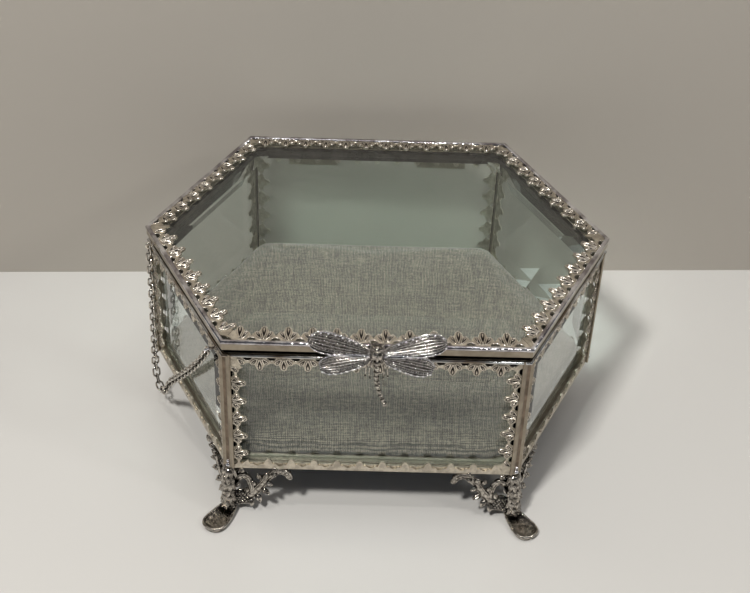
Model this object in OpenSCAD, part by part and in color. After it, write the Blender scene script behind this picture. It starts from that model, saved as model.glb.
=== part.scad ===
// Hinged glass casket: six bevelled panes in a metal frame, on four cast scroll feet.
// Millimetres. Origin on the table under the middle, +X right, -Y front, +Z up.

/* [Box] */
// Length of the front and of the back edge
front_edge = 110; // [95:1:125]
// Width across the two side corners
box_w = 181; // [165:1:200]
// Depth from the front wall to the back wall
box_d = 140; // [120:1:160]
// Height of a wall, from the underside to the top of the rim
wall_h = 56.5; // [48:0.5:72]
// Height of the feet, from the table to the underside
foot_h = 23; // [20:0.5:28]
// Thickness of the floor plate
floor_t = 1; // [0.8:0.1:1.6]
// Thickness of the folded sheet of the rims
rim_t = 0.8; // [0.6:0.1:1]

/* [Panes] */
// Thickness of a wall pane
pane_t = 3; // [2.5:0.1:4]
// Thickness of a wall pane at its edge
pane_edge_t = 1.4; // [1:0.1:2]
// Width of the bevel round a wall pane
pane_bevel_w = 11; // [6:0.5:14]

/* [Lid] */
// How far the lid stands out past the walls
lid_over = 0.8; // [0.4:0.1:1.5]
// Thickness of the band round the lid
band_t = 1; // [0.8:0.1:1.4]
// Height of the dark seam between the rim and the lid
seam_h = 2.3; // [1.5:0.1:3.5]
// How deep the seam is
seam_d = 1.6; // [1:0.1:2]
// Height of the band round the lid
band_h = 2.8; // [2:0.1:4]
// Width of the bevel round the lid pane
lid_bevel_w = 15; // [10:0.5:20]
// Angle of the lid pane's bevel, and of the lace that lies on it
lid_slope = 6.7; // [4:0.1:9]
// Width of the ledge under the lid pane
ledge_w = 5; // [3:0.1:7]

/* [Lace] */
// Thickness of the stamped sheet
lace_t = 0.6; // [0.4:0.05:0.8]
// Spacing of the palmettes along a strip
lace_pitch = 8.68; // [7:0.01:10]
// Height of a wall strip, from its rail to the palmette tips
wall_lace_h = 7.6; // [6.5:0.1:9]
// Height of the notches between the palmettes of a wall strip
wall_notch_h = 4.1; // [3.8:0.1:4.4]
// Height of the lid strip
lid_lace_h = 8.6; // [7:0.1:9.5]
// Height of the notches of the lid strip
lid_notch_h = 3.8; // [3.5:0.1:4.2]
// How much of the bottom strip is folded under the box
fold_w = 2.8; // [2:0.1:3]

/* [Corner posts] */
// Half the width of a post, measured along a wall
post_half_w = 2.1; // [1.9:0.05:2.6]
// How far a post stands out from the walls
post_out = 1; // [0.9:0.05:1.3]
// Radius of the groove down a post
post_groove_r = 2.4; // [2:0.1:2.8]
// Radius of the bead on each side of a post
post_bead_r = 0.5; // [0.35:0.05:0.6]
// How far a post laps over the ends of the strips beside it
post_lap = 0.5; // [0.3:0.05:0.8]

/* [Feet] */
// Thickness of the scroll along each bottom edge
scroll_t = 2.4; // [1.8:0.1:3]
// Thickness of the leg
leg_t = 5; // [4:0.1:6]
// Distance from the corner to the screw
boss_in = 6.8; // [6.5:0.1:8]
// Radius of the screw boss
boss_r = 2.6; // [2.2:0.1:2.8]
// Radius of the screw
screw_r = 1; // [0.8:0.05:1.2]

/* [Hinges] */
// Distance between the middles of the two hinges
hinge_gap = 56; // [40:1:70]
// Radius of the hinge pin
pin_r = 0.8; // [0.6:0.05:0.9]
// Outer radius of a knuckle
knuckle_r = 1.7; // [1.5:0.05:1.9]
// Length of one knuckle
knuckle_w = 4; // [3:0.1:5]
// Gap between knuckles
knuckle_gap = 0.3; // [0.2:0.05:0.5]
// Thickness of a hinge leaf
leaf_t = 0.8; // [0.6:0.05:1]
// Height of the leaf on the wall
wall_leaf_h = 9; // [7:0.5:12]
// Radial clearance where a knuckle turns on the pin
pin_run = 0.06; // [0.03:0.01:0.1]

/* [Lining] */
// Thickness of the stiff board under the cushion
board_t = 1.6; // [1:0.1:2.5]
// Height of the cushion at its edge
cushion_h = 8.3; // [5:0.1:14]
// Rise of the cushion's crown above its edge
crown_h = 1.2; // [0.4:0.1:3]
// How far the cushion's foot is drawn in
tuck_w = 0.9; // [0.4:0.1:1.5]
// Thickness of the felt under the floor
felt_t = 1; // [0.6:0.1:1.5]

/* [Dragonfly] */
// Height of the head above the underside of the box
fly_head_z = 63.4; // [60:0.1:66]
// Length of an upper wing
upper_wing_l = 24; // [18:0.5:27]
// Half the width of an upper wing
upper_wing_w = 5; // [4:0.1:5.5]
// Length of a lower wing
lower_wing_l = 19.8; // [15:0.5:23]
// Half the width of a lower wing
lower_wing_w = 4.5; // [3.5:0.1:5]
// Thickness of the wings
wing_t = 0.9; // [0.7:0.05:1.2]
// Radius of the tail's first bead
tail_r = 1.45; // [1.2:0.05:1.6]
// Number of beads in the tail
tail_beads = 12; // [9:1:13]

/* [Chain] */
// Half the length of a link, to the middle of its wire
link_l = 2.15; // [2.1:0.01:2.3]
// Half the width of a link, to the middle of its wire
link_w = 1.4; // [1.3:0.01:1.5]
// Radius of the chain's wire
wire_r = 0.38; // [0.32:0.01:0.4]
// Distance from one link to the next
link_pitch = 3.2; // [3:0.01:3.25]

/* [Hidden] */
$fn = 48;

NICKEL = [0.66, 0.63, 0.58];
DARK_NICKEL = [0.45, 0.43, 0.40];
PANE = [0.70, 0.84, 0.80, 0.4];
LINEN = [0.62, 0.59, 0.52];
BOARD = [0.35, 0.31, 0.26];
NAVY = [0.07, 0.09, 0.16];
STONE = [0.92, 0.94, 0.97];

// Small distances shared by the pieces
seat_gap = 0.05;
mitre_gap = 0.06;
run_gap = 0.2;
big = 200;
// How far a cut runs past a face, and how far joined shapes run into each other
cut = 1;
weld = 0.1;

// Heights above the table
under_z = foot_h;
floor_z = under_z + lace_t;
floor_top_z = floor_z + floor_t;
rim_z = under_z + wall_h;
lid_z = rim_z + seam_h;
pane_z = lid_z + rim_t + seat_gap;
band_top_z = lid_z + band_h;
lip_h = seam_h - run_gap;

// Distances in from the walls' outer plane
rim_in = lace_t;
pane_in = rim_in + rim_t;
cushion_in = pane_in + pane_t + 2 * seat_gap + run_gap;
rim_inner = cushion_in + rim_t;
lip_in = rim_in + seam_d;
lip_w = 1;
band_in = band_t - lid_over;
lid_pane_in = band_in + 2 * seat_gap;

// ---- The hexagon ----

side_run = (box_w - front_edge) / 2;
side_ang = atan2(box_d / 2, side_run);
LEFT = 5;
SIGNS = [[-1, -1], [1, -1], [1, 0], [1, 1], [-1, 1], [-1, 0]];

// Corners of the hexagon, moved inward by t; corner 0 is front left and they run anticlockwise
function half_front(t) = front_edge / 2 - t * tan(side_ang / 2);
function half_wide(t) = box_w / 2 - t / sin(side_ang);
function corner(i, t) = SIGNS[i][1] == 0
    ? [SIGNS[i][0] * half_wide(t), 0]
    : [SIGNS[i][0] * half_front(t), SIGNS[i][1] * (box_d / 2 - t)];
function hexagon(t) = [for (i = [0:5]) corner(i, t)];
function turn_at(i) = SIGNS[i % 6][1] == 0 ? 180 - 2 * side_ang : side_ang;
function edge_len(i) = norm(corner((i + 1) % 6, 0) - corner(i, 0));
function edge_ang(i) = let (d = corner((i + 1) % 6, 0) - corner(i, 0)) atan2(d[1], d[0]);
// How much shorter an edge is at its start and at its end, t inside the outer plane
function cut_start(i, t) = t * tan(turn_at(i) / 2);
function cut_end(i, t) = t * tan(turn_at(i + 1) / 2);

module hex_plate(t, z, h) {
    translate([0, 0, z]) linear_extrude(h) polygon(hexagon(t));
}

module hex_ring(t_out, t_in, z, h) {
    difference() {
        hex_plate(t_out, z, h);
        hex_plate(t_in, z - cut, h + 2 * cut);
    }
}

// Along edge i: +X runs with the edge, +Y points into the box
module at_edge(i) {
    mid = (corner(i, 0) + corner((i + 1) % 6, 0)) / 2;
    translate([mid[0], mid[1], 0]) rotate([0, 0, edge_ang(i)]) children();
}

// At corner i: +X points straight out of the box
module at_corner(i) {
    c = corner(i, 0);
    translate([c[0], c[1], 0]) rotate([0, 0, edge_ang(i) - 90 - turn_at(i) / 2]) children();
}

// A mitred bar along edge i, between two distances in from the outer plane
module edge_bar(i, t0, t1, z, h) {
    l = edge_len(i) / 2;
    translate([0, 0, z]) linear_extrude(h) polygon([
        [-l + cut_start(i, t0) + mitre_gap, t0], [l - cut_end(i, t0) - mitre_gap, t0],
        [l - cut_end(i, t1) - mitre_gap, t1], [-l + cut_start(i, t1) + mitre_gap, t1]
    ]);
}

// ---- Floor, rims and lining ----

// The corners that have a foot
FEET = [0, 1, 3, 4];

module floor_plate() color(DARK_NICKEL) difference() {
    hex_plate(rim_in, floor_z, floor_t);
    for (i = FEET) at_corner(i) translate([-boss_in, 0, floor_z - cut])
        cylinder(h = floor_t + 2 * cut, r = screw_r + seat_gap);
}

module underside_felt() color(NAVY)
    hex_plate(boss_in * cos(turn_at(0) / 2) + boss_r + run_gap, floor_z - felt_t, felt_t);

module lining_board() color(BOARD) hex_plate(cushion_in, floor_top_z, board_t);

// The rim's upstand, which the panes stand behind
lower_rim_h = 1;
module lower_rim() color(NICKEL) hex_ring(rim_in, pane_in, floor_top_z, lower_rim_h);

// A channel over the panes, with the lip that the lid sits on
channel_h = 3;
flange_h = 1.2;
module upper_rim() color(DARK_NICKEL) union() {
    hex_ring(rim_in, rim_inner, rim_z - rim_t, rim_t);
    hex_ring(rim_in, pane_in, rim_z - flange_h, flange_h);
    hex_ring(cushion_in, rim_inner, rim_z - channel_h, channel_h);
    hex_ring(lip_in, lip_in + lip_w, rim_z - rim_t, lip_h + rim_t);
}

// The cushion: rings of points round the hexagon, drawn in at the foot, rounded over and crowned
side_steps = 7;
cushion_z = floor_top_z + board_t;
corner_r = 3;
corner_pull = 0.35;
round_r = 3.2;
function on_ring(k, t) = let (
        i = floor(k / side_steps),
        u = (k % side_steps + 0.5) / side_steps,
        a = corner(i, t),
        b = corner((i + 1) % 6, t),
        p = a + (b - a) * u,
        near = min(u, 1 - u) * norm(b - a),
        pull = max(0, 1 - near / (2 * corner_r)) * corner_pull
    ) p * (1 - pull * corner_r / norm(p));
function crown_at(t) = crown_h * (1 - pow(max(0, 1 - (t - round_r) / (box_d / 2 - round_r)), 2.5));
// The drawn-in side as [share of the tuck, share of the height], and how far in the top's rings lie
SIDE = [[1, 0], [0.35, 0.22], [0, 0.45]];
TOP_INS = [5, 9, 15, 25, 40, 55];
// Each ring as [distance in, height above the board]
RINGS = concat(
    [for (q = SIDE) [q[0] * tuck_w, q[1] * cushion_h]],
    [for (a = [15:25:90]) [round_r * (1 - cos(a)), cushion_h - round_r + round_r * sin(a)]],
    [for (t = TOP_INS) [t, cushion_h + crown_at(t)]]
);
module lining_cushion() color(LINEN) {
    m = 6 * side_steps;
    n = len(RINGS);
    points = concat(
        [for (r = RINGS) for (k = [0:m - 1]) let (p = on_ring(k, cushion_in + r[0]))
            [p[0], p[1], cushion_z + r[1]]],
        [[0, 0, cushion_z], [0, 0, cushion_z + cushion_h + crown_h]]
    );
    faces = concat(
        [for (j = [0:n - 2]) for (k = [0:m - 1]) [j * m + k, (j + 1) * m + k, (j + 1) * m + (k + 1) % m]],
        [for (j = [0:n - 2]) for (k = [0:m - 1]) [j * m + k, (j + 1) * m + (k + 1) % m, j * m + (k + 1) % m]],
        [for (k = [0:m - 1]) [n * m, k, (k + 1) % m]],
        [for (k = [0:m - 1]) [n * m + 1, (n - 1) * m + (k + 1) % m, (n - 1) * m + k]]
    );
    polyhedron(points, faces);
}

// ---- Panes ----

module wall_pane(i) color(PANE) {
    inner = pane_in + seat_gap + pane_t;
    a = cut_start(i, inner) + run_gap;
    b = cut_end(i, inner) + run_gap;
    w = edge_len(i) - a - b;
    z0 = floor_top_z + seat_gap;
    h = rim_z - rim_t - seat_gap - z0;
    tilt = atan2(pane_t - pane_edge_t, pane_bevel_w);
    at_edge(i) translate([(a - b) / 2, pane_in + seat_gap, z0 + h / 2]) difference() {
        translate([-w / 2, 0, -h / 2]) cube([w, pane_t, h]);
        for (k = [0:3]) rotate([0, 90 * k, 0])
            translate([-big / 2, 0, (k % 2 == 0 ? h : w) / 2 - pane_bevel_w])
            rotate([-tilt, 0, 0]) translate([0, -pane_t, 0]) cube([big, pane_t, 2 * pane_bevel_w]);
    }
}

lid_pane_edge_t = band_top_z - pane_z + (lid_pane_in + lid_over) * tan(lid_slope) - seat_gap;
lid_pane_t = lid_pane_edge_t + lid_bevel_w * tan(lid_slope);
module lid_pane() color(PANE) difference() {
    hex_plate(lid_pane_in, pane_z, lid_pane_t);
    for (i = [0:5]) at_edge(i)
        translate([-big / 2, lid_pane_in + lid_bevel_w, pane_z + lid_pane_t]) rotate([lid_slope, 0, 0])
        translate([0, -2 * lid_bevel_w, 0]) cube([big, 2 * lid_bevel_w, lid_pane_t]);
}

// ---- Corner posts ----

// A point on one of the two walls at a corner: its distance from the corner, how far it is
// moved out from the wall, and which wall; half is half the angle between the walls
function on_wall(half, d, out, s) = [-d * cos(half) + out * sin(half), s * (d * sin(half) + out * cos(half))];

// Depth of the groove, and the share of a bead's radius that is sunk in the post
groove_d = 0.15;
bead_sunk = 0.6;
module post(i) color(NICKEL) {
    half = 90 - turn_at(i) / 2;
    spine = post_half_w - post_lap;
    back = 2 * seat_gap - rim_in;
    face = on_wall(half, post_half_w, post_out, 1);
    bead = face - post_bead_r * bead_sunk * [1, 1];
    at_corner(i) translate([0, 0, floor_z]) linear_extrude(wall_h - lace_t) difference() {
        union() {
            polygon([
                on_wall(half, post_half_w, 0, 1), on_wall(half, spine, 0, 1),
                on_wall(half, spine, back, 1), [back / sin(half), 0], on_wall(half, spine, back, -1),
                on_wall(half, spine, 0, -1), on_wall(half, post_half_w, 0, -1),
                on_wall(half, post_half_w, post_out, -1), face
            ]);
            for (s = [-1, 1]) translate([bead[0], s * bead[1]]) circle(post_bead_r);
        }
        translate([face[0] + post_groove_r - groove_d, 0]) circle(post_groove_r);
    }
}

// ---- Stamped lace ----

lobe_r = 1.28;
side_lobe_r = 1.1;
side_lobe_x = 2.45;
side_lobe_down = 3.55;
hole_half_w = 1.8;
hole_rise = 2;
// Width of the rail between the holes and the edge: at the rim, beside a post and on the lid
hole_rail = 1;
post_rail = 1.5;
lid_rail = 0.9;

function arc(cx, cy, r, a0, a1, n) = [
    for (k = [0:n]) let (a = a0 + (a1 - a0) * k / n) [cx + r * sin(a), cy + r * cos(a)]
];

// One palmette's outline, from the notch on its left to just before the notch on its right
function palmette(x, h, notch) = concat(
    [[x - lace_pitch / 2, notch]],
    arc(x - side_lobe_x, h - side_lobe_down, side_lobe_r, -70, 35, 3),
    arc(x, h - lobe_r, lobe_r, -95, 95, 5),
    arc(x + side_lobe_x, h - side_lobe_down, side_lobe_r, -35, 70, 3)
);

// A strip of palmettes: rail on the X axis, tips at y = h, one palmette centred at x = phase
module lace_strip(w, h, notch, phase, rail) {
    n = ceil(w / lace_pitch / 2) + 1;
    ks = [for (k = [-n:n]) phase + k * lace_pitch];
    outline = concat(
        [[ks[0] - lace_pitch / 2, 0]],
        [for (x = ks) each palmette(x, h, notch)],
        [[ks[2 * n] + lace_pitch / 2, notch], [ks[2 * n] + lace_pitch / 2, 0]]
    );
    difference() {
        polygon(outline);
        for (x = ks)
            if (abs(x + lace_pitch / 2) < w / 2 + hole_half_w)
                translate([x + lace_pitch / 2, rail])
                    polygon([for (a = [0:30:180]) [hole_half_w * cos(a), hole_rise * sin(a)]]);
    }
}

// Where one palmette of each strip lies, measured along the wall from its middle
TOP_PHASE = [1.4, 0, 0, 0, 0, 0];
LOW_PHASE = [3.8, 0, 0, 0, 0, 0];
LID_PHASE = [2.9, -4, -1.1, -3.5, -4.2, -1.1];
// Height of one palmette above the underside, in the strip at the start and at the end of a wall
POST_TIPS = [33.8, 29.5];
// How far the strips beside the posts stay from the corners
lace_end_in = 0.4;

// The four strips round one wall; the bottom one is folded under the box
module wall_lace(i) color(NICKEL) {
    l = edge_len(i) / 2 - lace_end_in;
    low = -fold_w;
    mid = (wall_h + low) / 2;
    tall = (wall_h - low) / 2;
    wide = edge_len(i) / 2 - post_half_w + post_lap - seat_gap;
    h = wall_lace_h;
    mitre_z = wall_h - (l - wide);
    g = mitre_gap;
    at_edge(i) translate([0, lace_t, under_z]) rotate([90, 0, 0]) {
        linear_extrude(lace_t) intersection() {
            translate([0, wall_h]) mirror([0, 1])
                lace_strip(2 * l, h, wall_notch_h, TOP_PHASE[i], hole_rail);
            polygon([[-wide, wall_h], [wide, wall_h], [wide, mitre_z + g], [l - h - g, wall_h - h],
                [g + h - l, wall_h - h], [-wide, mitre_z + g]]);
        }
        for (s = [-1, 1]) linear_extrude(lace_t) intersection() {
            translate([s * l, mid]) rotate(s * 90) mirror([s > 0 ? 0 : 1, 0])
                lace_strip(2 * tall, h, wall_notch_h, POST_TIPS[s > 0 ? 1 : 0] - mid, post_rail);
            polygon([[s * wide, 0], [s * wide, mitre_z - g], [s * (l - h), wall_h - h - g],
                [s * (l - h), low + h + g], [s * (l + low - g), 0]]);
        }
        linear_extrude(lace_t) intersection() {
            translate([0, low]) lace_strip(2 * l, h, wall_notch_h, LOW_PHASE[i], hole_rail);
            polygon([[-l - low + g, 0], [l + low - g, 0], [l - h - g, low + h], [g + h - l, low + h]]);
        }
    }
    at_edge(i) edge_bar(i, 0, fold_w, under_z, lace_t);
}

// One lid strip, lying on the bevel of the lid pane, tips inward
module lid_lace(i) color(NICKEL) {
    l = edge_len(i) / 2;
    a = -lid_over;
    b = lid_lace_h * cos(lid_slope) - lid_over;
    at_edge(i) translate([0, -lid_over, band_top_z + seat_gap]) rotate([lid_slope, 0, 0])
        linear_extrude(lace_t) intersection() {
            lace_strip(2 * (l + lace_pitch), lid_lace_h, lid_notch_h, LID_PHASE[i], lid_rail);
            polygon([
                [-l + cut_start(i, a) + mitre_gap, 0], [l - cut_end(i, a) - mitre_gap, 0],
                [l - cut_end(i, b) - mitre_gap, lid_lace_h], [-l + cut_start(i, b) + mitre_gap, lid_lace_h]
            ]);
        }
}

module lid_frame() color(DARK_NICKEL) union() {
    hex_ring(-lid_over, band_in, lid_z, band_h);
    hex_ring(band_in - weld, band_in + ledge_w, lid_z, rim_t);
}

// ---- Feet ----

// A flat tapering stroke along a curve: points are [x, y, half width]
function spline(p, steps) = [
    for (i = [0:len(p) - 2]) for (k = [0:steps - 1]) let (
        u = k / steps,
        p0 = p[max(i - 1, 0)], p1 = p[i], p2 = p[i + 1], p3 = p[min(i + 2, len(p) - 1)]
    ) 0.5 * (2 * p1 + (p2 - p0) * u + (2 * p0 - 5 * p1 + 4 * p2 - p3) * u * u
        + (3 * p1 - p0 - 3 * p2 + p3) * u * u * u),
    p[len(p) - 1]
];
function side_of(c, i, s) = let (
        a = c[max(i - 1, 0)], b = c[min(i + 1, len(c) - 1)],
        d = [b[0] - a[0], b[1] - a[1]] / norm([b[0] - a[0], b[1] - a[1]])
    ) [c[i][0] - s * d[1] * c[i][2], c[i][1] + s * d[0] * c[i][2]];
module stroke(p, steps = 3) {
    c = spline(p, steps);
    n = len(c) - 1;
    polygon(concat([for (i = [0:n]) side_of(c, i, 1)], [for (i = [n:-1:0]) side_of(c, i, -1)]));
}

// Scroll and branch along a bottom edge, as [distance from the corner, drop, half width]
SCROLL = [[-0.5, -18.6, 2.4], [5, -17.4, 2.1], [9.6, -13.8, 1.8], [12.6, -9.6, 1.6], [15.4, -5.2, 1.5],
    [19.2, -2, 1.5], [22.3, -3.3, 1.3], [23.6, -6.2, 0.9]];
BRANCH = [[0.6, -9.6, 2.2], [3, -6.4, 1.6], [5.8, -4.9, 1.3], [7.9, -7, 1.2], [8.5, -11, 1.2],
    [8.2, -14.6, 1.3]];
// Round buds on the scroll, as [distance from the corner, drop, radius]
BUDS = [[4.8, -14.2, 2.4], [8.4, -18.6, 1.8], [12.2, -14.8, 1.8], [15.6, -10.4, 1.8], [13, -5, 1.8]];
// The leg in the plane through the corner, as [distance out, drop, half width]
LEG = [[-6.4, -2.2, 1.6], [-3.4, -3.6, 2.3], [-1.4, -8, 2.5], [-0.8, -13, 2.5], [-0.4, -17.2, 2.5],
    [1, -20.4, 2]];
// The tongue of the toe and the dish in it, in plan, as [distance out, half width]
TOE = [[-1, 2.2], [2, 3.2], [5.5, 4], [9, 4.4], [11.6, 3.9], [13, 2.6], [13.6, 1.1]];
DISH = [[0.6, 1.5], [2.4, 2.1], [5.5, 2.9], [8.8, 3.2], [10.8, 2.8], [12, 1.5]];
toe_t = 1.2;
toe_rim_h = 2.6;
// The drops above are drawn for feet of this height
drawn_foot_h = 23;
drop_k = foot_h / drawn_foot_h;
function drawn(p) = [for (q = p) [q[0], q[1] * drop_k, q[2]]];

// Depth of the screw boss under the box, and how far the scroll stands back from the wall
boss_h = 3.2 * drop_k;
scroll_in = 0.2;
module tongue(p) {
    polygon(concat([for (t = p) t], [for (k = [len(p) - 1:-1:0]) [p[k][0], -p[k][1]]]));
}
module foot(i) color(NICKEL) {
    half = 90 - turn_at(i) / 2;
    at_corner(i) translate([0, 0, under_z]) difference() {
        union() {
            for (s = [-1, 1]) rotate([0, 0, s > 0 ? 180 - half : 180 + half])
                translate([0, s > 0 ? scroll_in + scroll_t : -scroll_in, 0]) rotate([90, 0, 0])
                linear_extrude(scroll_t) {
                    stroke(drawn(SCROLL));
                    stroke(drawn(BRANCH));
                    for (b = BUDS) translate([b[0], b[1] * drop_k]) circle(b[2]);
                }
            translate([0, leg_t / 2, 0]) rotate([90, 0, 0]) linear_extrude(leg_t) stroke(drawn(LEG));
            translate([0, 0, -foot_h]) difference() {
                linear_extrude(toe_rim_h) tongue(TOE);
                translate([0, 0, toe_t]) linear_extrude(toe_rim_h) tongue(DISH);
            }
            translate([-boss_in, 0, -boss_h]) cylinder(h = lace_t + boss_h, r = boss_r);
        }
        translate([-boss_in, 0, -foot_h]) cylinder(h = 2 * foot_h, r = screw_r + seat_gap);
        translate([-boss_in, 0, -boss_h - foot_h]) cylinder(h = foot_h, r = head_r + run_gap);
    }
}

head_r = 1.9;
head_h = 1;
module foot_screws() color(DARK_NICKEL)
    for (i = FEET) at_corner(i) translate([-boss_in, 0, under_z - boss_h]) {
        translate([0, 0, -head_h]) cylinder(h = head_h, r = head_r);
        cylinder(h = boss_h + lace_t + floor_t - seat_gap, r = screw_r);
    }

// ---- Hinges ----

hinge_y = box_d / 2 + lid_over + knuckle_r + run_gap;
hinge_z = rim_z + seam_h / 2;
wall_y = box_d / 2;
hinge_w = 5 * knuckle_w + 4 * knuckle_gap;
function knuckle_x(k) = -hinge_w / 2 + k * (knuckle_w + knuckle_gap);

// Clearance of the pin where it is held fast, and its heads
pin_hold = 0.02;
pin_head_t = 0.6;
pin_head_r = pin_r + 0.4;
lid_leaf_t = 0.6;

// Knuckles k on one leaf, with the web that joins them to it
module knuckles(ks, hole_r, web_y, web_z, web_h) {
    for (k = ks) translate([knuckle_x(k), 0, 0]) difference() {
        union() {
            rotate([0, 90, 0]) cylinder(h = knuckle_w, r = knuckle_r);
            translate([0, web_y, web_z]) cube([knuckle_w, -web_y, web_h]);
        }
        translate([-cut, 0, 0]) rotate([0, 90, 0]) cylinder(h = knuckle_w + 2 * cut, r = hole_r);
    }
}

rivet_in = 3.1;
RIVET_X = (hinge_w / 2 - rivet_in) * [-1, 0, 1];
rivet_r = 0.7;
rivet_head_r = 1.2;
rivet_head_t = 0.5;
// Height of the wall leaf's top and of its rivets, measured from the hinge's axis
leaf_top = 0.6 - knuckle_r;
rivet_z = leaf_top - wall_leaf_h / 2;
module wall_leaf(s) color(DARK_NICKEL) translate([s * hinge_gap / 2, hinge_y, hinge_z]) {
    y0 = wall_y - hinge_y;
    difference() {
        translate([-hinge_w / 2, y0, leaf_top - wall_leaf_h]) cube([hinge_w, leaf_t, wall_leaf_h]);
        for (x = RIVET_X) translate([x, y0 - cut, rivet_z]) rotate([-90, 0, 0])
            cylinder(h = leaf_t + 2 * cut, r = rivet_r + seat_gap);
    }
    knuckles([0, 2, 4], pin_r + pin_hold, y0, -knuckle_r, leaf_t);
}

module lid_leaf(s) color(DARK_NICKEL) translate([s * hinge_gap / 2, hinge_y, hinge_z]) {
    y0 = wall_y + lid_over - hinge_y;
    z0 = lid_z - hinge_z + run_gap;
    h = band_h - run_gap;
    translate([-hinge_w / 2, y0, z0]) cube([hinge_w, lid_leaf_t, h]);
    knuckles([1, 3], pin_r + pin_run, y0, z0, lid_leaf_t);
}

module hinge_pin(s) color(NICKEL) translate([s * hinge_gap / 2, hinge_y, hinge_z]) rotate([0, 90, 0]) {
    cylinder(h = hinge_w + 2 * (run_gap + pin_head_t), r = pin_r, center = true);
    for (e = [-1, 1]) translate([0, 0, e * (hinge_w / 2 + run_gap + pin_head_t / 2)])
        cylinder(h = pin_head_t, r = pin_head_r, center = true);
}

module wall_leaf_rivets() color(NICKEL)
    for (s = [-1, 1]) for (x = RIVET_X)
        translate([s * hinge_gap / 2 + x, wall_y, hinge_z + rivet_z]) rotate([-90, 0, 0]) {
            cylinder(h = leaf_t, r = rivet_r);
            translate([0, 0, leaf_t]) cylinder(h = rivet_head_t, r = rivet_head_r);
        }

// ---- Dragonfly on the front of the lid ----

band_y = -box_d / 2 - lid_over;
stud_l = 0.6;
stud_r = 1.3;
wing_y = band_y - stud_l;
head_bead_r = 1.5;
thorax_r = 1.9;
thorax_drop = 2.9;
// The body's middle plane: the thorax rests on the plate behind it
fly_y = wing_y - wing_t - seat_gap - thorax_r;
fly_z = under_z + fly_head_z;
// An eye's place on the head and its radius, and the feelers
EYE = [1.1, -0.5, 0.8];
eye_bead_r = 0.8;
feeler_x = 0.8;
feeler_l = 6.2;
feeler_r = 0.3;
feeler_lean = 27;
// How far a bead's middle lies from the next, as a share of their radii together
bead_sink = 0.8;
// How much the tail narrows, how far its tip curls to the right, and where the curl starts
tail_taper = 0.45;
tail_curl = 3.4;
curl_from = 0.35;

// The tail's beads: each is smaller than the one above and sunk a little into it
function tail_r_at(k) = tail_r * (1 - tail_taper * k / (tail_beads - 1));
function tail_drop(k) = k == 0
    ? thorax_drop + bead_sink * (thorax_r + tail_r_at(0))
    : tail_drop(k - 1) + bead_sink * (tail_r_at(k - 1) + tail_r_at(k));
function tail_x(k) = tail_curl * pow(max(0, k / (tail_beads - 1) - curl_from) / (1 - curl_from), 1.8);
module dragonfly_body() color(NICKEL) translate([0, fly_y, fly_z]) {
    sphere(head_bead_r);
    for (s = [-1, 1]) {
        translate([s * EYE[0], EYE[1], EYE[2]]) sphere(eye_bead_r);
        translate([s * feeler_x, 0, 0]) rotate([0, s * feeler_lean, 0]) {
            cylinder(h = feeler_l, r = feeler_r);
            translate([0, 0, feeler_l]) sphere(2 * feeler_r);
        }
    }
    translate([0, 0, -thorax_drop]) sphere(thorax_r);
    for (k = [0:tail_beads - 1]) translate([tail_x(k), 0, -tail_drop(k)]) sphere(tail_r_at(k));
}

// Half the width of a wing, a share u of the way to its tip
wing_peak = sqrt(5 / 6 * pow(1 / 6, 1 / 5));
function wing_half(w, u) = w * sqrt(u * (1 - pow(u, 5))) / wing_peak;
WING_US = [0.04, 0.12, 0.22, 0.34, 0.46, 0.58, 0.7, 0.8, 0.88, 0.94, 0.98];
wing_rim = 0.8;
vein_w = 0.35;
module wing(l, w) {
    difference() {
        polygon(concat(
            [for (u = WING_US) [l * u, wing_half(w, u)]], [[l, 0]],
            [for (k = [len(WING_US) - 1:-1:0]) [l * WING_US[k], -wing_half(w, WING_US[k])]]
        ));
        for (k = [2, 4, 6]) for (s = [-1, 1]) let (a = WING_US[k], b = WING_US[k + 2])
            polygon([
                [l * a + vein_w, s * vein_w], [l * b - vein_w, s * vein_w],
                [l * b - vein_w, s * (wing_half(w, b) - wing_rim)],
                [l * a + vein_w, s * (wing_half(w, a) - wing_rim)]
            ]);
    }
}

// Each wing as [length, half width, root height, angle, edges that carry stones]
WINGS = [[upper_wing_l, upper_wing_w, -3.6, 15, [-1, 1]], [lower_wing_l, lower_wing_w, -5.6, -14, [-1]]];
root_x = 1.4;
module on_wing(q, s) {
    translate([0, wing_y, fly_z + q[2]]) mirror([s < 0 ? 1 : 0, 0, 0])
        translate([root_x, 0, 0]) rotate([90, 0, 0]) rotate(q[3]) children();
}
// The plate behind the body that the wings grow from: half its width, its foot and its top
plate_half_w = 2.6;
plate_foot = -7.2;
plate_top = 0.5;
module dragonfly_wings() color(NICKEL) {
    for (q = WINGS) for (s = [-1, 1]) on_wing(q, s) linear_extrude(wing_t) wing(q[0], q[1]);
    translate([-plate_half_w, wing_y - wing_t, fly_z + plate_foot])
        cube([2 * plate_half_w, wing_t, plate_top - plate_foot]);
}

// Small eight-sided stones set along the rim of each wing
stone_r = 0.42;
stone_h = 0.35;
module dragonfly_stones() color(STONE)
    for (q = WINGS) for (s = [-1, 1]) on_wing(q, s)
        for (u = [0.3:0.11:0.97]) for (e = q[4])
            translate([q[0] * u, e * (wing_half(q[1], u) - wing_rim / 2), wing_t])
                cylinder(h = stone_h, r = stone_r, $fn = 8);

module dragonfly_stud() color(DARK_NICKEL)
    translate([0, band_y, lid_z + band_h / 2]) rotate([90, 0, 0]) cylinder(h = stud_l, r = stud_r);

// ---- Chain between the lid and the front left corner ----

// The chain hangs in a plane beside the front left wall
chain_out = 3.2;
lid_eye_z = lid_z + band_h / 2;
wall_eye_z = rim_z - 2.3;
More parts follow.
